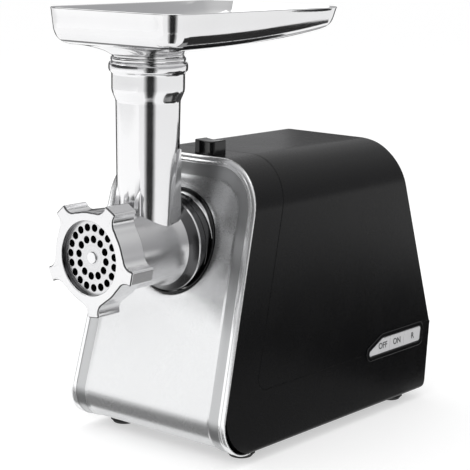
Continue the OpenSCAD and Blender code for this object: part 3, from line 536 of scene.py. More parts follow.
@dataclass
class Panel:
    """The leaning silver front panel, in millimetres."""

    foot_half: float = 84.4
    widest: float = 84.26
    foot_z: float = 8.4
    top_z: float = 235.0
    shoulder: float = 41.3
    toe: float = 27.0
    front_foot: float = -120.6
    lean: float = radians(14.25)
    end_y: float = -81.6
    skin: float = 0.8
    toe_steps: int = 16
    side_steps: int = 6
    arc_steps: int = 14
    hole_steps: int = 112
    rim_width: float = 6.5
    band_width: float = 17.0
    # Distance in from the edge and depth of each line round the panel
    rings: Line = (
        (0, 1.2), (0, 0.5), (0.15, 0.2), (0.45, 0), (3, 0), (3.2, 0.22), (3.6, 0.22),
        (3.8, 0), (6.2, 0), (6.45, 0.08), (6.75, 0.5), (7, 0.52), (11, 0.52), (15.2, 0.55),
        (16.2, 0.68), (17.2, 1), (18.2, 1.35), (19.4, 1.5))
    field_depth: float = 1.5
    # Radius and depth of each line round the hole
    hole_lines: Line = ((47.5, 1.5), (42.7, 1.5), (41.85, 1.65), (41.5, 2.1), (41.5, 4.1))

    def __post_init__(self) -> None:
        """Works out the toe's place on the side profile."""
        self.toe_z = self.foot_z + self.toe
        self.toe_y = self.front_foot + self.toe * tan(self.lean) + self.toe / cos(self.lean)
        self.flat = self.end_y - self.toe_y
        self.run = self.flat + self.toe * (pi / 2 + self.lean)
        self.tangent_z = self.toe_z + self.toe * sin(self.lean)

    def along_of(self, z: float) -> float:
        """Place along the side profile of a point on the leaning face at height z."""
        return self.run + (z - self.tangent_z) / cos(self.lean)

    def at(self, x: float, v: float, depth: float) -> Point3:
        """A point of the panel.

        Args:
            x: Sideways place.
            v: Place along the side profile, from the rear end of the underside.
            depth: Depth below the surface.

        Returns:
            The point.
        """
        if v < self.flat:
            return (x, self.end_y - v, self.foot_z + depth)
        if v < self.run:
            turn = (v - self.flat) / self.toe
            r = self.toe - depth
            return (x, self.toe_y - r * sin(turn), self.toe_z - r * cos(turn))
        z = self.tangent_z + (v - self.run) * cos(self.lean)
        y = self.front_foot + (z - self.foot_z) * tan(self.lean) + depth / cos(self.lean)
        return (x, y, z)

    def half_width(self, z: float, inset: float) -> float:
        """Half the panel's width at height z, moved in by inset."""
        return min(self.foot_half - (z - self.foot_z) * WALL_TAPER, self.widest) - inset

    def outline(self, inset: float) -> list[Point2]:
        """The open outline at an inset, from the left foot over the top to the right foot.

        Args:
            inset: Distance in from the panel's edge.

        Returns:
            Points as (x, v).
        """
        radius = max(self.shoulder - inset, 1.0)
        top = self.top_z - inset
        tilt = atan(WALL_TAPER)
        centre_z = top - radius
        centre_x = self.half_width(centre_z, inset) - radius / cos(tilt)
        toe = [self.flat + (self.run - self.flat) * i / self.toe_steps for i in range(self.toe_steps + 1)]
        side = [(self.half_width(self.at(0.0, v, 0.0)[2], inset), v) for v in [0.0] + toe]
        start_z = centre_z + radius * sin(tilt)
        for i in range(1, self.side_steps + 1):
            z = self.tangent_z + (start_z - self.tangent_z) * i / self.side_steps
            side.append((self.half_width(z, inset), self.along_of(z)))
        bend = arc((centre_x, centre_z), radius, degrees(tilt), 90.0, self.arc_steps)[1:]
        right = side + [(x, self.along_of(z)) for x, z in bend]
        left = [(-x, v) for x, v in right]
        middle = [(-centre_x + 2 * centre_x * i / self.side_steps, self.along_of(top))
                  for i in range(1, self.side_steps)]
        return left + middle + right[::-1]

    def build(self) -> Piece:
        """Builds the panel with its grooved rim, stepped band, recessed field and thin back.

        Returns:
            The piece.
        """
        flat: list[Point2] = []
        depths: list[float] = []
        faces: list[Face] = []
        for inset, depth in self.rings:
            line = self.outline(inset)
            flat += line
            depths += [depth] * len(line)
        n = len(flat) // len(self.rings)
        for i in range(len(self.rings) - 1):
            for j in range(n - 1):
                a = i * n + j
                faces.append((a, a + 1, a + n + 1, a + n))
        self._fill_field(flat, depths, faces, n)
        obj = new_object("front_panel_shell", [self.at(x, v, d) for (x, v), d in zip(flat, depths)], faces)
        outward(obj)
        if sum(f.area * f.normal.y for f in obj.data.polygons) > 0:
            obj.data.flip_normals()
        solid = obj.modifiers.new("thickness", "SOLIDIFY")
        solid.thickness = self.skin * MM
        solid.offset = -1.0
        obj.data.set_sharp_from_angle(angle=radians(40.0))
        dress(obj, SATIN_SILVER, "silver_panel", "body", "front_panel")
        # Painted light: the rim takes the brighter silver as a painted highlight, the band the darker silver as
        # painted shade
        for finish in (PAINTED_HIGHLIGHT_SILVER, PAINTED_SHADE_SILVER):
            obj.data.materials.append(finish.material())
        for i, (inset, _) in enumerate(self.rings[1:]):
            number = 1 if inset <= self.rim_width else 2 if inset <= self.band_width else 0
            for j in range(n - 1):
                obj.data.polygons[i * (n - 1) + j].material_index = number
        return obj

    def _fill_field(self, flat: list[Point2], depths: list[float], faces: list[Face], n: int) -> None:
        """Fills the field between its edge and the round hole.

        Args:
            flat: Points so far as (x, v), added to.
            depths: Depth of each point, added to.
            faces: Faces so far, added to.
            n: Number of points in a ring.
        """
        first = (len(self.rings) - 1) * n
        edge = flat[first:]
        coords = [Vector(p) for p in edge]
        edges = [(i, i + 1) for i in range(n - 1)] + [(n - 1, 0)]
        edges += [(i, n - 1 - i) for i in range(1, self.toe_steps + 4)]
        steps = self.hole_steps
        circles = [[(x, self.along_of(z)) for x, z in arc((0.0, AXIS_Z), radius, 0.0, 360.0, steps)[:-1]]
                   for radius, _ in self.hole_lines]
        coords += [Vector(p) for p in circles[0]]
        edges += [(n + i, n + (i + 1) % steps) for i in range(steps)]
        out, _, tris, origins, _, _ = delaunay_2d_cdt(coords, edges, [], 0, 1e-5)
        inner = self.hole_lines[0][0] - 0.05
        keep = []
        for tri in tris:
            middle = sum((out[i] for i in tri), Vector((0.0, 0.0))) / len(tri)
            z = self.tangent_z + (middle[1] - self.run) * cos(self.lean)
            if hypot(middle[0], z - AXIS_Z) >= inner and self._within(middle, edge):
                keep.append(tri)
        numbers: dict[int, int] = {}
        previous = [0] * steps
        for i, (p, origin) in enumerate(zip(out, origins)):
            source = origin[0] if origin else -1
            if 0 <= source < n:
                numbers[i] = first + source
                continue
            numbers[i] = len(flat)
            flat.append((p[0], p[1]))
            depths.append(self.field_depth)
            if source >= n:
                previous[source - n] = numbers[i]
        faces.extend(tuple(numbers[i] for i in tri) for tri in keep)
        for ring, (_, depth) in zip(circles[1:], self.hole_lines[1:]):
            current = list(range(len(flat), len(flat) + steps))
            flat.extend(ring)
            depths.extend([depth] * steps)
            for i in range(steps):
                k = (i + 1) % steps
                faces.append((previous[i], previous[k], current[k], current[i]))
            previous = current

    def _within(self, p: Vector, edge: list[Point2]) -> bool:
        """Whether a point lies inside an outline.

        Args:
            p: The point.
            edge: The outline.

        Returns:
            True if it does.
        """
        inside = False
        for (x1, y1), (x2, y2) in zip(edge, edge[1:] + edge[:1]):
            if (y1 > p[1]) != (y2 > p[1]) and p[0] < (x2 - x1) * (p[1] - y1) / (y2 - y1) + x1:
                inside = not inside
        return inside


@dataclass
class Housing:
    """The two black housings and the small parts on them, each with the width of its rounded edges."""

    parts: tuple[tuple[str, float, Finish], ...] = (
        ("main_housing", 0.2, SATIN_BLACK), ("base_housing", 0.2, SATIN_BLACK),
        ("socket_collar", 0.3, GLOSS_BLACK), ("head_socket", 0.4, CHROME_RING),
        ("cord_gland", 0.8, DARK_PLASTIC), ("rubber_feet", 0.5, SOFT_RUBBER))

    def build(self) -> list[Piece]:
        """Builds the housings and the small parts.

        Returns:
            The pieces.
        """
        return [dress(from_cad(node, f"{node}_skin", width), finish, slot_of(node), "body", node)
                for node, width, finish in self.parts]


@dataclass
class Controls:
    """The release button and the three keys with their frame, in millimetres."""

    wall_x: float = 84.741
    wall_tilt: float = atan(WALL_TAPER)
    face_out: float = 0.8
    letter: float = 7.4
    letter_relief: float = 0.04
    stroke_growth: float = 0.12
    # Node, body and legend of each key, and the legend's place along the body and up the wall
    keys: tuple[tuple[str, str, str, float, float], ...] = (
        ("key_off", "off_key", "OFF", 99.2, 60), ("key_on", "on_key", "ON", 120.6, 60.1),
        ("key_reverse", "reverse_key", "R", 145, 60.1))

    def wall_matrix(self) -> Matrix:
        """The side wall's frame: x along the body, y up the wall, z outwards."""
        turn = Matrix(((0, 0, 1, 0), (1, 0, 0, 0), (0, 1, 0, 0), (0, 0, 0, 1)))
        return Matrix.Translation((self.wall_x * MM, 0, 0)) @ Matrix.Rotation(-self.wall_tilt, 4, "Y") @ turn

    def legend(self, text: str, along: float, up: float) -> Piece:
        """A printed legend.

        Args:
            text: Its letters.
            along: Place of its middle along the body.
            up: Place of its middle up the wall.

        Returns:
            The piece, with thin raised letters.
        """
        name = f"legend_{text.lower()}"
        curve = bpy.data.curves.new(name, "FONT")
        curve.body = text
        curve.size = self.letter * MM
        curve.extrude = self.letter_relief * MM
        curve.offset = self.stroke_growth * MM
        curve.align_x, curve.align_y = "CENTER", "CENTER"
        holder = into_scene("legend_holder", curve)
        mesh = evaluated(holder)
        bpy.data.objects.remove(holder)
        mesh.name = name
        place = Matrix.Translation((along * MM, up * MM, (self.face_out + 0.03) * MM))
        mesh.transform(self.wall_matrix() @ place)
        return into_scene(mesh.name, mesh)

    def build(self) -> list[Piece]:
        """Builds the button, the keys, their legends and their frame.

        Returns:
            The pieces.
        """
        button = from_cad("release_button", "release_button_cap", 0.9)
        bezel = from_cad("key_bezel", "key_frame", 0.55)
        made = [dress(button, GLOSS_BLACK, "button_plastic", "lock", "release_button"),
                dress(bezel, GLOSS_BLACK, "button_plastic", "body", "key_bezel")]
        for node, body, text, along, up in self.keys:
            made.append(dress(from_cad(node, f"{node}_cap", 0.4), KEY_SILVER, "key_plastic", body, node))
            made.append(dress(self.legend(text, along, up), LEGEND_INK, "key_plastic", body))
        return made


@dataclass
class Tray:
    """The pressed metal tray with its spout, in millimetres."""

    half_w: float = 68.8
    front: float = -158.6
    rear: float = 51.7
    rim_z: float = 350.3
    corner: float = 21.0
    sheet: float = 1.2
    spout: float = 26.6
    spout_low: float = 296.0
    bead_z: float = 311.6
    bead_r: float = 28.9
    bottom_z: float = 323.0
    bottom_rise: float = 12.5
    bottom_inset: float = 14.0
    wall_low: float = 11.2
    corner_steps: int = 24
    side_steps: int = 22
    bottom_steps: int = 13
    # Row of faces that lies in the shade of the wall's foot
    crease_row: int = 25
    # Radius and height of each line over the bead's own
    bead: Line = ((-0.5, -0.6), (0, 0.8), (-0.3, 2.2), (-1.2, 3), (-1, 3.8), (0.6, 4.8))
    # Distance in from the wall and height over the bottom
    fillet: Line = (
        (12.2, -0.1), (10.6, 0.45), (8.2, 1.5), (6.2, 2.95), (4.6, 4.7), (3.4, 6.7), (2.55, 8.9), (1.9, 11.2))
    # Share of the wall's height and distance in
    wall: Line = ((0.3, 1.35), (0.6, 0.78), (0.85, 0.34))
    # Distance in and depth below the rim
    rim: Line = (
        (0.06, 0.9), (0, 0.45), (0.12, 0.12), (0.4, 0), (1.1, 0), (1.32, 0.3), (1.38, 0.8))

    def floor_z(self, y: float) -> float:
        """Height where the wall meets the bottom, at place y along the tray."""
        t = min(max((y - self.front) / (self.rear - self.front), 0.0), 1.0)
        return self.bottom_z + self.bottom_rise * t ** 2.5

    def plan(self, inset: float) -> list[Point2]:
        """The tray's outline in plan, moved in by inset.

        Args:
            inset: Distance in from the outer wall.

        Returns:
            The points, anticlockwise from the right wall's rear end.
        """
        hw = self.half_w - inset
        y0, y1 = self.front + inset, self.rear - inset
        r = max(self.corner - inset, 3.0)
        arcs = [arc((cx, cy), r, a, a + 90.0, self.corner_steps) for cx, cy, a in (
            (hw - r, y1 - r, 0.0), (-hw + r, y1 - r, 90.0), (-hw + r, y0 + r, 180.0), (hw - r, y0 + r, 270.0))]
        loop: list[Point2] = []
        for bend, after in zip(arcs, arcs[1:] + arcs[:1]):
            (px, py), (qx, qy) = bend[-1], after[0]
            loop += bend
            loop += [(px + (qx - px) * i / self.side_steps, py + (qy - py) * i / self.side_steps)
                     for i in range(1, self.side_steps)]
        return loop

    def circle(self, r: float) -> list[Point2]:
        """Points round the throat's axis, in step with the plan outline."""
        turns = [atan2(y - THROAT_Y, x) for x, y in self.plan(0.0)]
        return [(r * cos(a), THROAT_Y + r * sin(a)) for a in turns]

    def rings(self) -> list[Ring]:
        """The tray's outer skin as rings, from the spout's end up to the rim.

        Returns:
            The rings.
        """
        neck_lines = [(self.spout, self.spout_low), (self.spout, self.bead_z - 4.0),
                      (self.spout + 0.2, self.bead_z - 1.5)]
        neck_lines += [(self.bead_r + r, self.bead_z + z) for r, z in self.bead]
        rows: list[Ring] = [[(x, y, z) for x, y in self.circle(r)] for r, z in neck_lines]
        inner, outer = self.circle(self.bead_r + 2.5), self.plan(self.bottom_inset)
        neck = self.bead_z + 5.8
        for i in range(self.bottom_steps + 1):
            t = i / self.bottom_steps
            spread, rise = t ** 1.15, 1.0 - (1.0 - t) ** 1.7
            row = []
            for (x0, y0), (x1, y1) in zip(inner, outer):
                low = self.floor_z(y1) - 0.6
                row.append((x0 + (x1 - x0) * spread, y0 + (y1 - y0) * spread, neck + (low - neck) * rise))
            rows.append(row)
        feet = [self.floor_z(y) for _, y in outer]
        for inset, up in self.fillet:
            rows.append([(x, y, foot + up) for (x, y), foot in zip(self.plan(inset), feet)])
        for t, inset in self.wall:
            lows = [foot + self.wall_low for foot in feet]
            rows.append([(x, y, low + (self.rim_z - low) * t) for (x, y), low in zip(self.plan(inset), lows)])
        for inset, down in self.rim:
            rows.append([(x, y, self.rim_z - down) for x, y in self.plan(inset)])
        return rows

    def build(self) -> Piece:
        """Builds the tray as one thin shell.

        Returns:
            The piece.
        """
        outer = self.rings()
        inner = [[self._inside(outer, k, j) for j in range(len(row))]
                 for k, row in enumerate(outer[:-len(self.rim)])]
        obj = closed_object("tray_shell", *bridge(outer + inner[::-1]))
        obj.data.set_sharp_from_angle(angle=radians(60.0))
        dress(obj, POLISHED_SHEET, "tray_metal", "tray", "hopper_tray")
        # Painted shade: the row at the wall's foot takes the near-black copy of the metal
        shade_rows(obj, (self.crease_row,), len(outer[0]))
        return obj

    def _inside(self, rows: list[Ring], k: int, j: int) -> Point3:
        """The point of the inner skin behind a point of the outer skin.

        Args:
            rows: The outer rings.
            k: Number of the ring.
            j: Number of the point in it.

        Returns:
            The inner point.
        """
        p = rows[k][j]
        up = Vector(rows[min(k + 1, len(rows) - 1)][j]) - Vector(rows[max(k - 1, 0)][j])
        side = Vector(rows[k][(j + 1) % len(rows[k])]) - Vector(rows[k][j - 1])
        normal = side.cross(up)
        if normal.length < 1e-9:
            return p
        return tuple(Vector(p) - normal.normalized() * self.sheet)


def lathe(profile: Line, steps: int, upright: bool) -> tuple[list[Point3], list[Face]]:
    """Turns a closed profile about the throat's axis or the drive axis.

    Args:
        profile: Points as (radius, height or place along the object).
        steps: Number of steps round.
        upright: True for the throat's axis, False for the drive axis.

    Returns:
        Points and faces.
    """
    rings: list[Ring] = []
    for r, t in profile:
        row: Ring = []
        for i in range(steps):
            a = 2.0 * pi * i / steps
            x, o = r * cos(a), r * sin(a)
            row.append((x, THROAT_Y + o, t) if upright else (x, t, AXIS_Z + o))
        rings.append(row)
    return bridge(rings)


def cut(obj: Piece, tool: Piece, operation: str) -> None:
    """Joins or subtracts a closed tool mesh, then removes the tool.

    Args:
        obj: The piece.
        tool: The closed mesh to use on it.
        operation: UNION or DIFFERENCE.
    """
    step = obj.modifiers.new("step", "BOOLEAN")
    step.operation = operation
    step.solver = "EXACT"
    step.object = tool
    mesh = evaluated(obj)
    obj.modifiers.remove(step)
    old, obj.data = obj.data, mesh
    bpy.data.meshes.remove(old)
    bpy.data.objects.remove(tool)


@dataclass
class Barrel:
    """The polished casting: barrel, flange, throat, shoulder and gussets, in millimetres."""

    steps: int = 160
    throat_out: Line = (
        (23.6, 183), (24, 207), (24.35, 232), (24.7, 257), (25, 279.6), (25.15, 281), (25.6, 282.2),
        (26.6, 284.6), (27.5, 286.8), (28, 288.4), (28.2, 290.2), (28.2, 295), (28.2, 300.6), (28.3, 301.6),
        (28.7, 302.4), (29.5, 303.1), (30.1, 303.9), (30.45, 305), (30.5, 306.2), (30.45, 308), (30.2, 309.2),
        (29.7, 310), (29, 310.45), (28, 310.5), (0.2, 310.5), (0.2, 183))
    throat_in: Line = (
        (0.2, 171), (21.5, 171), (21.5, 294), (21.8, 294.4), (26.6, 294.4), (26.9, 294.7), (26.9, 309.6),
        (27.3, 310.2), (27.9, 311), (0.2, 311))
    barrel_out: Line = (
        (32, -168.7), (32.2, -168.4), (32.2, -154), (31.9, -153.6), (30.5, -153.4), (30.5, -140),
        (30.5, -126), (30.5, -112), (30.6, -108), (31, -104.6), (31.8, -101.4), (33.1, -98.4), (34.8, -95.6),
        (36.8, -93.2), (37.7, -92.3), (38.2, -91.7), (38.5, -90.9), (38.5, -90.2), (38.5, -84.6), (38.3, -84.3),
        (37.9, -84.2), (37.9, -83.7), (38.3, -83.6), (38.5, -83.3), (38.5, -78.5), (38.2, -78.1), (27.3, -78),
        (27, -77.8), (27, -61.4), (26.6, -61), (0.2, -61), (0.2, -168.7))
    barrel_in: Line = (
        (0.2, -170), (30.1, -170), (30.1, -163.6), (27.5, -163.6), (27.5, -90), (12.1, -90), (12.1, -82),
        (19, -82), (19, -60), (0.2, -60))
    # Half the width of the web behind the throat and its (y, z) outline
    web_half: float = 23.9
    web: Line = (
        (-110, 188), (-98.6, 188), (-98.2, 188.4), (-98, 189), (-98, 243), (-98.3, 244),
        (-98.8, 244.3), (-99.4, 243.8), (-100.2, 241), (-103.2, 226), (-106.2, 210), (-108.6, 196))
    # Half the thickness, sideways place and (y, z) outline of the gussets before the throat
    leaf_half: float = 2.2
    leaf_x: float = 10.0
    leaf: Line = (
        (-110, 188), (-135.6, 188), (-135.3, 191), (-134.4, 197), (-133.4, 206), (-131.2, 216), (-110, 216))
    # The flange's shaded side, beyond flange_r and between these places along the object
    flange_r: float = 37.0
    flange_side: Point2 = (-90.4, -78.05)
    # Number of points of barrel_out before the flange, and radii that split that skin: painted shade in darker
    # grey below shoulder_low, in near-black between the two
    shoulder_end: int = 17
    shoulder_low: float = 33.0
    shoulder_high: float = 38.0

    def slab(self, half: float, points: Line, middle: float) -> Piece:
        """A plate across the object with a (y, z) outline.

        Args:
            half: Half its width.
            points: Its outline.
            middle: Sideways place of its middle.

        Returns:
            The closed mesh.
        """
        verts, faces = bridge([[(middle + x, y, z) for y, z in points] for x in (-half, half)], closed=False)
        n = len(points)
        return closed_object("slab", verts, faces + [tuple(range(n)), tuple(range(2 * n - 1, n - 1, -1))])

    def _zone(self, r: float, y: float) -> int:
        """The finish of a face: 0 polished, 1 painted shade in near-black on the flange, 2 painted shade in
        darker grey on the barrel.

        Args:
            r: Distance of the face's middle from the drive axis.
            y: Its place along the object.

        Returns:
            The finish's number.
        """
        if self.flange_side[0] < y < self.flange_side[1] and r > self.flange_r:
            return 1
        skin = self.barrel_out[:self.shoulder_end]
        for (r0, y0), (r1, y1) in zip(skin, skin[1:]):
            if y0 <= y <= y1 and y1 > y0 and abs(r0 + (r1 - r0) * (y - y0) / (y1 - y0) - r) < 0.35:
                return 2 if r <= self.shoulder_low else 1 if r < self.shoulder_high else 0
        return 0

    def build(self) -> Piece:
        """Builds the casting as one closed mesh.

        Returns:
            The piece.
        """
        obj = closed_object("barrel_casting_painted_shade", *lathe(self.barrel_out, self.steps, False))
        throat = closed_object("throat_tool", *lathe(self.throat_out, self.steps, True))
        cut(obj, self.slab(self.web_half, self.web, 0.0), "UNION")
        for middle in (-self.leaf_x, self.leaf_x):
            cut(obj, self.slab(self.leaf_half, self.leaf, middle), "UNION")
        cut(obj, throat, "UNION")
        cut(obj, closed_object("bore_tool", *lathe(self.barrel_in, self.steps, False)), "DIFFERENCE")
        cut(obj, closed_object("way_tool", *lathe(self.throat_in, self.steps, True)), "DIFFERENCE")
        obj.data.shade_smooth()
        obj.data.set_sharp_from_angle(angle=radians(32.0))
        dress(obj, POLISHED_CASTING, "polished_aluminium", "body", "grinder_barrel")
        # Painted shade: the flange's side and the shoulder before it take a near-black copy of the metal, the
        # barrel's body a darker grey copy of the casting
        for finish in (PAINTED_SHADE_METAL, PAINTED_SHADE_CASTING):
            obj.data.materials.append(finish.material())
        for face in obj.data.polygons:
            face.material_index = self._zone(*from_axis(face))
        even_shading(obj)
        return obj


@dataclass
class RingNut:
    """The ring nut with its five lugs, in millimetres."""

    front: float = -175.1
    rear: float = -151.1
    opening: float = 28.5
    recess_r: float = 32.5
    recess: float = 4.1
    tip: float = 45.5
    lugs: int = 5
    first: float = 60.0
    # Half a lug's foot as angle and radius
    foot: Line = ((36, 35.6), (32, 35.6), (28, 35.6), (25, 35.65), (22.5, 35.85), (20.5, 36.1))
    # Radius over the opening's own and distance behind the front, from the opening out
    lip: Line = ((0, 0.9), (0.12, 0.45), (0.4, 0.12), (0.9, 0), (3, 0))
    # Distance in from the outline and distance behind the front
    front_edge: Line = (
        (1.5, 0), (1.3, 0.02), (0.85, 0.14), (0.45, 0.45), (0.12, 0.9), (0, 1.5), (0, 8))
    # Distance in from the outline and distance before the rear
    rear_edge: Line = ((0, 8), (0, 1.2), (0.12, 0.7), (0.45, 0.3), (0.95, 0.08), (1.6, 0))
    # Rows of faces on the opening's wall and the front edge that lie in shade
    shaded_rows: tuple[int, ...] = (1, 2, 9, 10)

    def outline(self) -> list[Point2]:
        """The outline about the drive axis.

        Returns:
            Points as (x, z) from the axis.
        """
        half = [(r * cos(radians(angle)), r * sin(radians(angle))) for angle, r in self.foot]
        half += arc((42.5, 14.2), 8.4, 200.0, 276.0, 14)
        half += arc((43.4, 3.95), 2.1, 66.0, 0.0, 6) + [(self.tip, 2.6), (self.tip, 1.3)]
        lug = half + [(self.tip, 0.0)] + [(u, -w) for u, w in half[::-1]][:-1]
        points: list[Point2] = []
        for k in range(self.lugs):
            a = radians(self.first + 360.0 * k / self.lugs)
            for u, w in lug[::-1]:
                points.append((u * cos(a) - w * sin(a), u * sin(a) + w * cos(a)))
        return points

    def inset(self, points: list[Point2], d: float) -> list[Point2]:
        """The outline moved inwards.

        Args:
            points: The outline.
            d: Distance.

        Returns:
            The new outline.
        """
        out = []
        for i, p in enumerate(points):
            a, b = points[i - 1], points[(i + 1) % len(points)]
            dx, dy = b[0] - a[0], b[1] - a[1]
            size = hypot(dx, dy)
            out.append((p[0] - dy / size * d, p[1] + dx / size * d))
        return out

    def build(self) -> Piece:
        """Builds the ring nut with rounded edges.

        Returns:
            The piece.
        """
        base = self.outline()
        around = [atan2(z, x) for x, z in base]

        def circle(r: float, y: float) -> Ring:
            """A circle in step with the outline."""
            return [(r * cos(a), y, AXIS_Z + r * sin(a)) for a in around]

        def edge(d: float, y: float) -> Ring:
            """The outline moved in by d."""
            return [(x, y, AXIS_Z + z) for x, z in self.inset(base, d)]

        seat = self.front + self.recess
        rings = [circle(self.recess_r, seat), circle(self.opening, seat)]
        rings += [circle(self.opening + r, self.front + back) for r, back in self.lip]
        rings += [edge(d, self.front + back) for d, back in self.front_edge]
        rings += [edge(d, self.rear - before) for d, before in self.rear_edge]
        rings.append(circle(self.recess_r, self.rear))
        obj = closed_object("ring_nut_casting", *bridge(rings))
        obj.data.set_sharp_from_angle(angle=radians(50.0))
        even_shading(obj, 90)
        dress(obj, RING_CASTING, "polished_aluminium", "ring", "ring_nut")
        # Painted shade: the opening's wall and the front edge take the near-black copy of the metal
        shade_rows(obj, self.shaded_rows, len(base))
        return obj


@dataclass
class Head:
    """The grinding head: barrel, ring nut, cutting plate and blade."""

    hole_walls_within: float = 27.5

    def build(self) -> list[Piece]:
        """Builds the head's visible metal.

        Returns:
            The pieces.
        """
        made = [Barrel().build(), RingNut().build()]
        for node in ("cutting_plate", "cutting_blade"):
            piece = from_cad(node, f"{node}_metal", 0.25, 2)
            dress(piece, GROUND_STEEL, slot_of(node), frame["nodes"][node]["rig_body"], node)
            # Painted shade: the walls of the holes and of the pin's bore take a near-black copy of the steel
            piece.data.materials.append(PAINTED_SHADE_BORE.material())
            for face in piece.data.polygons:
                if abs(face.normal.y) < 0.3 and from_axis(face)[0] < self.hole_walls_within:
                    face.material_index = 1
            made.append(piece)
        return made


@dataclass
class Works:
    """The CAD nodes that keep their own shape."""

    def build(self) -> list[Piece]:
        """Gives every CAD node that still shows its finish.

        Returns:
            The nodes.
        """
        made = []
        for node, obj in sorted(frame["nodes"].items()):
            if obj.hide_render:
                continue
            slot = slot_of(node)
            obj.data.materials.clear()
            obj.data.materials.append(FINISH_OF_SLOT[slot].material())
            made.append(obj)
        return made


# ---- studio ----


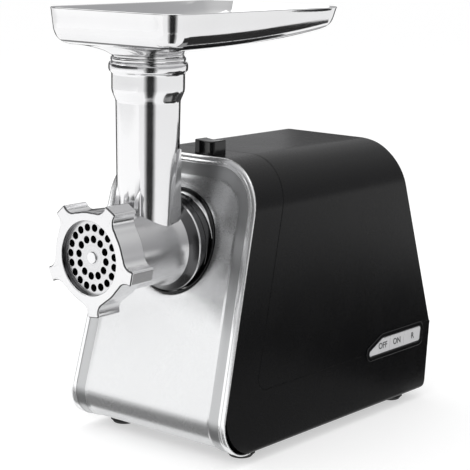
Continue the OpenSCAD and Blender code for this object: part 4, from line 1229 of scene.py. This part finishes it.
@dataclass
class Studio:
    """Floor, soft light, reflection cards and camera.

    The camera and the lamps are in metres, the cards in millimetres.
    """

    camera_at: Point3 = (0.81066, -0.98350, 0.41229)
    right: Point3 = (0.76860, 0.63954, 0.01609)
    up: Point3 = (-0.13649, 0.13937, 0.98080)
    forward: Point3 = (-0.62500, 0.75603, -0.19441)
    lens: float = 119.18
    floor_half: float = 40000.0
    strip_azimuth: float = 49.7
    # Width of the upright strip, half angle of its image on the floor, and brightness
    strips: tuple[Point3, ...] = ((320, 9.5, 0.02), (430, 12.5, 0.2), (540, 15.5, 0.42), (680, 19.5, 0.66))
    # Name, azimuth, distance, width, lower and upper edge, brightness
    walls: tuple[tuple[str, float, float, float, float, float, float], ...] = (
        ("panel_low", -38, 520, 1200, 0, 185, 1.25), ("panel_high", -38, 530, 1300, 285, 520, 0.05),
        ("strip_left", 197, 1100, 600, 0, 420, 0.04), ("strip_right", 241, 1100, 600, 0, 420, 0.04))
    # Name, corners, height and brightness of the cards that lie over the floor
    patches: tuple[tuple[str, Line, float, float], ...] = (
        ("ground_right", ((115, -80), (640, 60), (640, 860), (115, 620)), 1, 0.03),
        ("ground_lug", ((100, -60), (310, -10), (310, 215), (100, 165)), 2.6, 0.33),
        ("toe_near", ((-150, -165), (72, -165), (84, -112), (-110, -112)), 1.2, 0.2),
        ("toe_far", ((-220, -225), (62, -225), (76, -160), (-150, -160)), 0.9, 0.55))
    # Place and colour of each step of the room's light, from the horizon up
    sky_steps: tuple[tuple[float, Point3], ...] = (
        (0, (0.50, 0.50, 0.51)), (0.25, (0.62, 0.62, 0.63)), (0.75, (1, 1, 1)))

    def camera(self) -> None:
        """Places the camera."""
        data = bpy.data.cameras.new("camera")
        data.lens = self.lens
        data.sensor_width = 36.0
        data.clip_start, data.clip_end = 0.05, 100.0
        obj = into_scene("camera", data)
        back = [-c for c in self.forward]
        rows = [[self.right[i], self.up[i], back[i], self.camera_at[i]] for i in range(3)]
        obj.matrix_world = Matrix(rows + [[0.0, 0.0, 0.0, 1.0]])
        bpy.context.scene.camera = obj

    def floor(self) -> None:
        """Lays the pale floor."""
        material, shader = principled("pale_floor")
        with_inputs(shader, Base_Color=(0.62, 0.62, 0.62, 1.0), Roughness=0.9, Specular_IOR_Level=0.1,
                   Emission_Color=(1.0, 1.0, 1.0, 1.0), Emission_Strength=0.52)
        s = self.floor_half
        obj = new_object("floor", [(-s, -s, 0.0), (s, -s, 0.0), (s, s, 0.0), (-s, s, 0.0)], [(0, 1, 2, 3)])
        obj.data.materials.append(material)

    def card(self, name: str, corners: list[Point3], level: float) -> None:
        """Sets up a card that only reflections see.

        Args:
            name: Name of the card.
            corners: Its corners.
            level: How bright it looks.
        """
        material = bpy.data.materials.new(name)
        material.use_nodes = True
        tree = material.node_tree
        tree.nodes.clear()
        glow = add(tree, "Emission", Color=(level, level, level, 1.0))
        out = add(tree, "OutputMaterial")
        tree.links.new(glow.outputs[0], out.inputs["Surface"])
        obj = new_object(name, corners, [(0, 1, 2, 3)])
        obj.data.materials.append(material)
        for rays in ("camera", "diffuse", "shadow", "transmission"):
            setattr(obj, f"visible_{rays}", False)

    def upright_card(self, name: str, azimuth: float, distance: float, width: float, low: float, high: float,
                     level: float) -> None:
        """Stands a card up at an azimuth about the throat.

        Args:
            name: Name of the card.
            azimuth: Its direction in degrees, 0 towards -Y and 90 towards +X.
            distance: Distance from the throat's axis.
            width: Its width.
            low: Height of its lower edge.
            high: Height of its upper edge.
            level: How bright it looks.
        """
        a = radians(azimuth)
        cx, cy = distance * sin(a), THROAT_Y - distance * cos(a)
        sx, sy = cos(a) * width / 2, sin(a) * width / 2
        self.card(name, [(cx - sx, cy - sy, low), (cx + sx, cy + sy, low), (cx + sx, cy + sy, high),
                         (cx - sx, cy - sy, high)], level)

    def wedge(self, near: float, far: float, half: float, over: float) -> list[Point3]:
        """Corners of a patch of floor that widens away from the throat, before the upright strip.

        Args:
            near: Nearest distance from the throat's axis.
            far: Farthest distance.
            half: Half its angle, in degrees.
            over: Height over the floor.

        Returns:
            The four corners.
        """
        corners = []
        for r, side in ((near, -half), (near, half), (far, half), (far, -half)):
            a = radians(self.strip_azimuth + side)
            corners.append((r * sin(a), THROAT_Y - r * cos(a), over))
        return corners

    def lamp(self, name: str, at: Point3, aim: Point3, size: Point2, watts: float) -> None:
        """Hangs a soft box.

        Args:
            name: Name of the lamp.
            at: Its place.
            aim: The point it faces.
            size: Its width and height.
            watts: Its power.
        """
        data = bpy.data.lights.new(name, "AREA")
        data.shape = "RECTANGLE"
        data.size, data.size_y = size
        data.energy = watts
        obj = into_scene(name, data)
        obj.location = at
        obj.rotation_mode = "QUATERNION"
        obj.rotation_quaternion = (Vector(aim) - Vector(at)).to_track_quat("-Z", "Y")

    def sky(self) -> None:
        """Fills the room with soft light that grows towards the ceiling."""
        world = bpy.data.worlds.new("room")
        world.use_nodes = True
        tree = world.node_tree
        place = add(tree, "TexCoord")
        split = add(tree, "SeparateXYZ")
        ramp = add(tree, "ValToRGB")
        marks = ramp.color_ramp.elements
        marks.new(self.sky_steps[1][0])
        for mark, (position, colour) in zip(marks, self.sky_steps):
            mark.position, mark.color = position, (*colour, 1.0)
        background = tree.nodes["Background"]
        with_inputs(background, Strength=0.85)
        tree.links.new(place.outputs["Generated"], split.inputs[0])
        tree.links.new(split.outputs["Z"], ramp.inputs["Fac"])
        tree.links.new(ramp.outputs["Color"], background.inputs["Color"])
        bpy.context.scene.world = world

    def build(self) -> None:
        """Sets up the whole studio."""
        self.camera()
        self.floor()
        self.sky()
        for step, (width, half, level) in enumerate(self.strips):
            distance = 900.0 + 4.0 * step
            self.upright_card(f"strip_middle_{step}", self.strip_azimuth, distance, width, 0.0, 440.0, level)
            self.card(f"ground_strip_{step}", self.wedge(260.0, 900.0, half, 2.4 - 0.5 * step), level)
        for wall in self.walls:
            self.upright_card(*wall)
        for name, corners, over, level in self.patches:
            self.card(name, [(x, y, over) for x, y in corners], level)
        self.lamp("ceiling_box", (-0.2, -0.3, 1.7), (0.0, 0.0, 0.15), (1.8, 1.8), 10.0)
        self.lamp("left_box", (-1.3, -1.0, 0.9), (0.0, -0.05, 0.18), (0.9, 1.2), 5.0)
        bpy.context.scene.view_settings.view_transform = "Standard"


def main() -> None:
    """Builds every sub-assembly in order and reports each piece."""
    logging.basicConfig(level=logging.INFO, format="%(message)s")
    made: list[Piece] = [Panel().build(), Tray().build()]
    for group in (Housing(), Controls(), Head(), Works()):
        made += group.build()
    for obj in made:
        LOG.info("%s: %d faces", obj.name, len(obj.data.polygons))
    Studio().build()


if __name__ == "__main__":
    main()
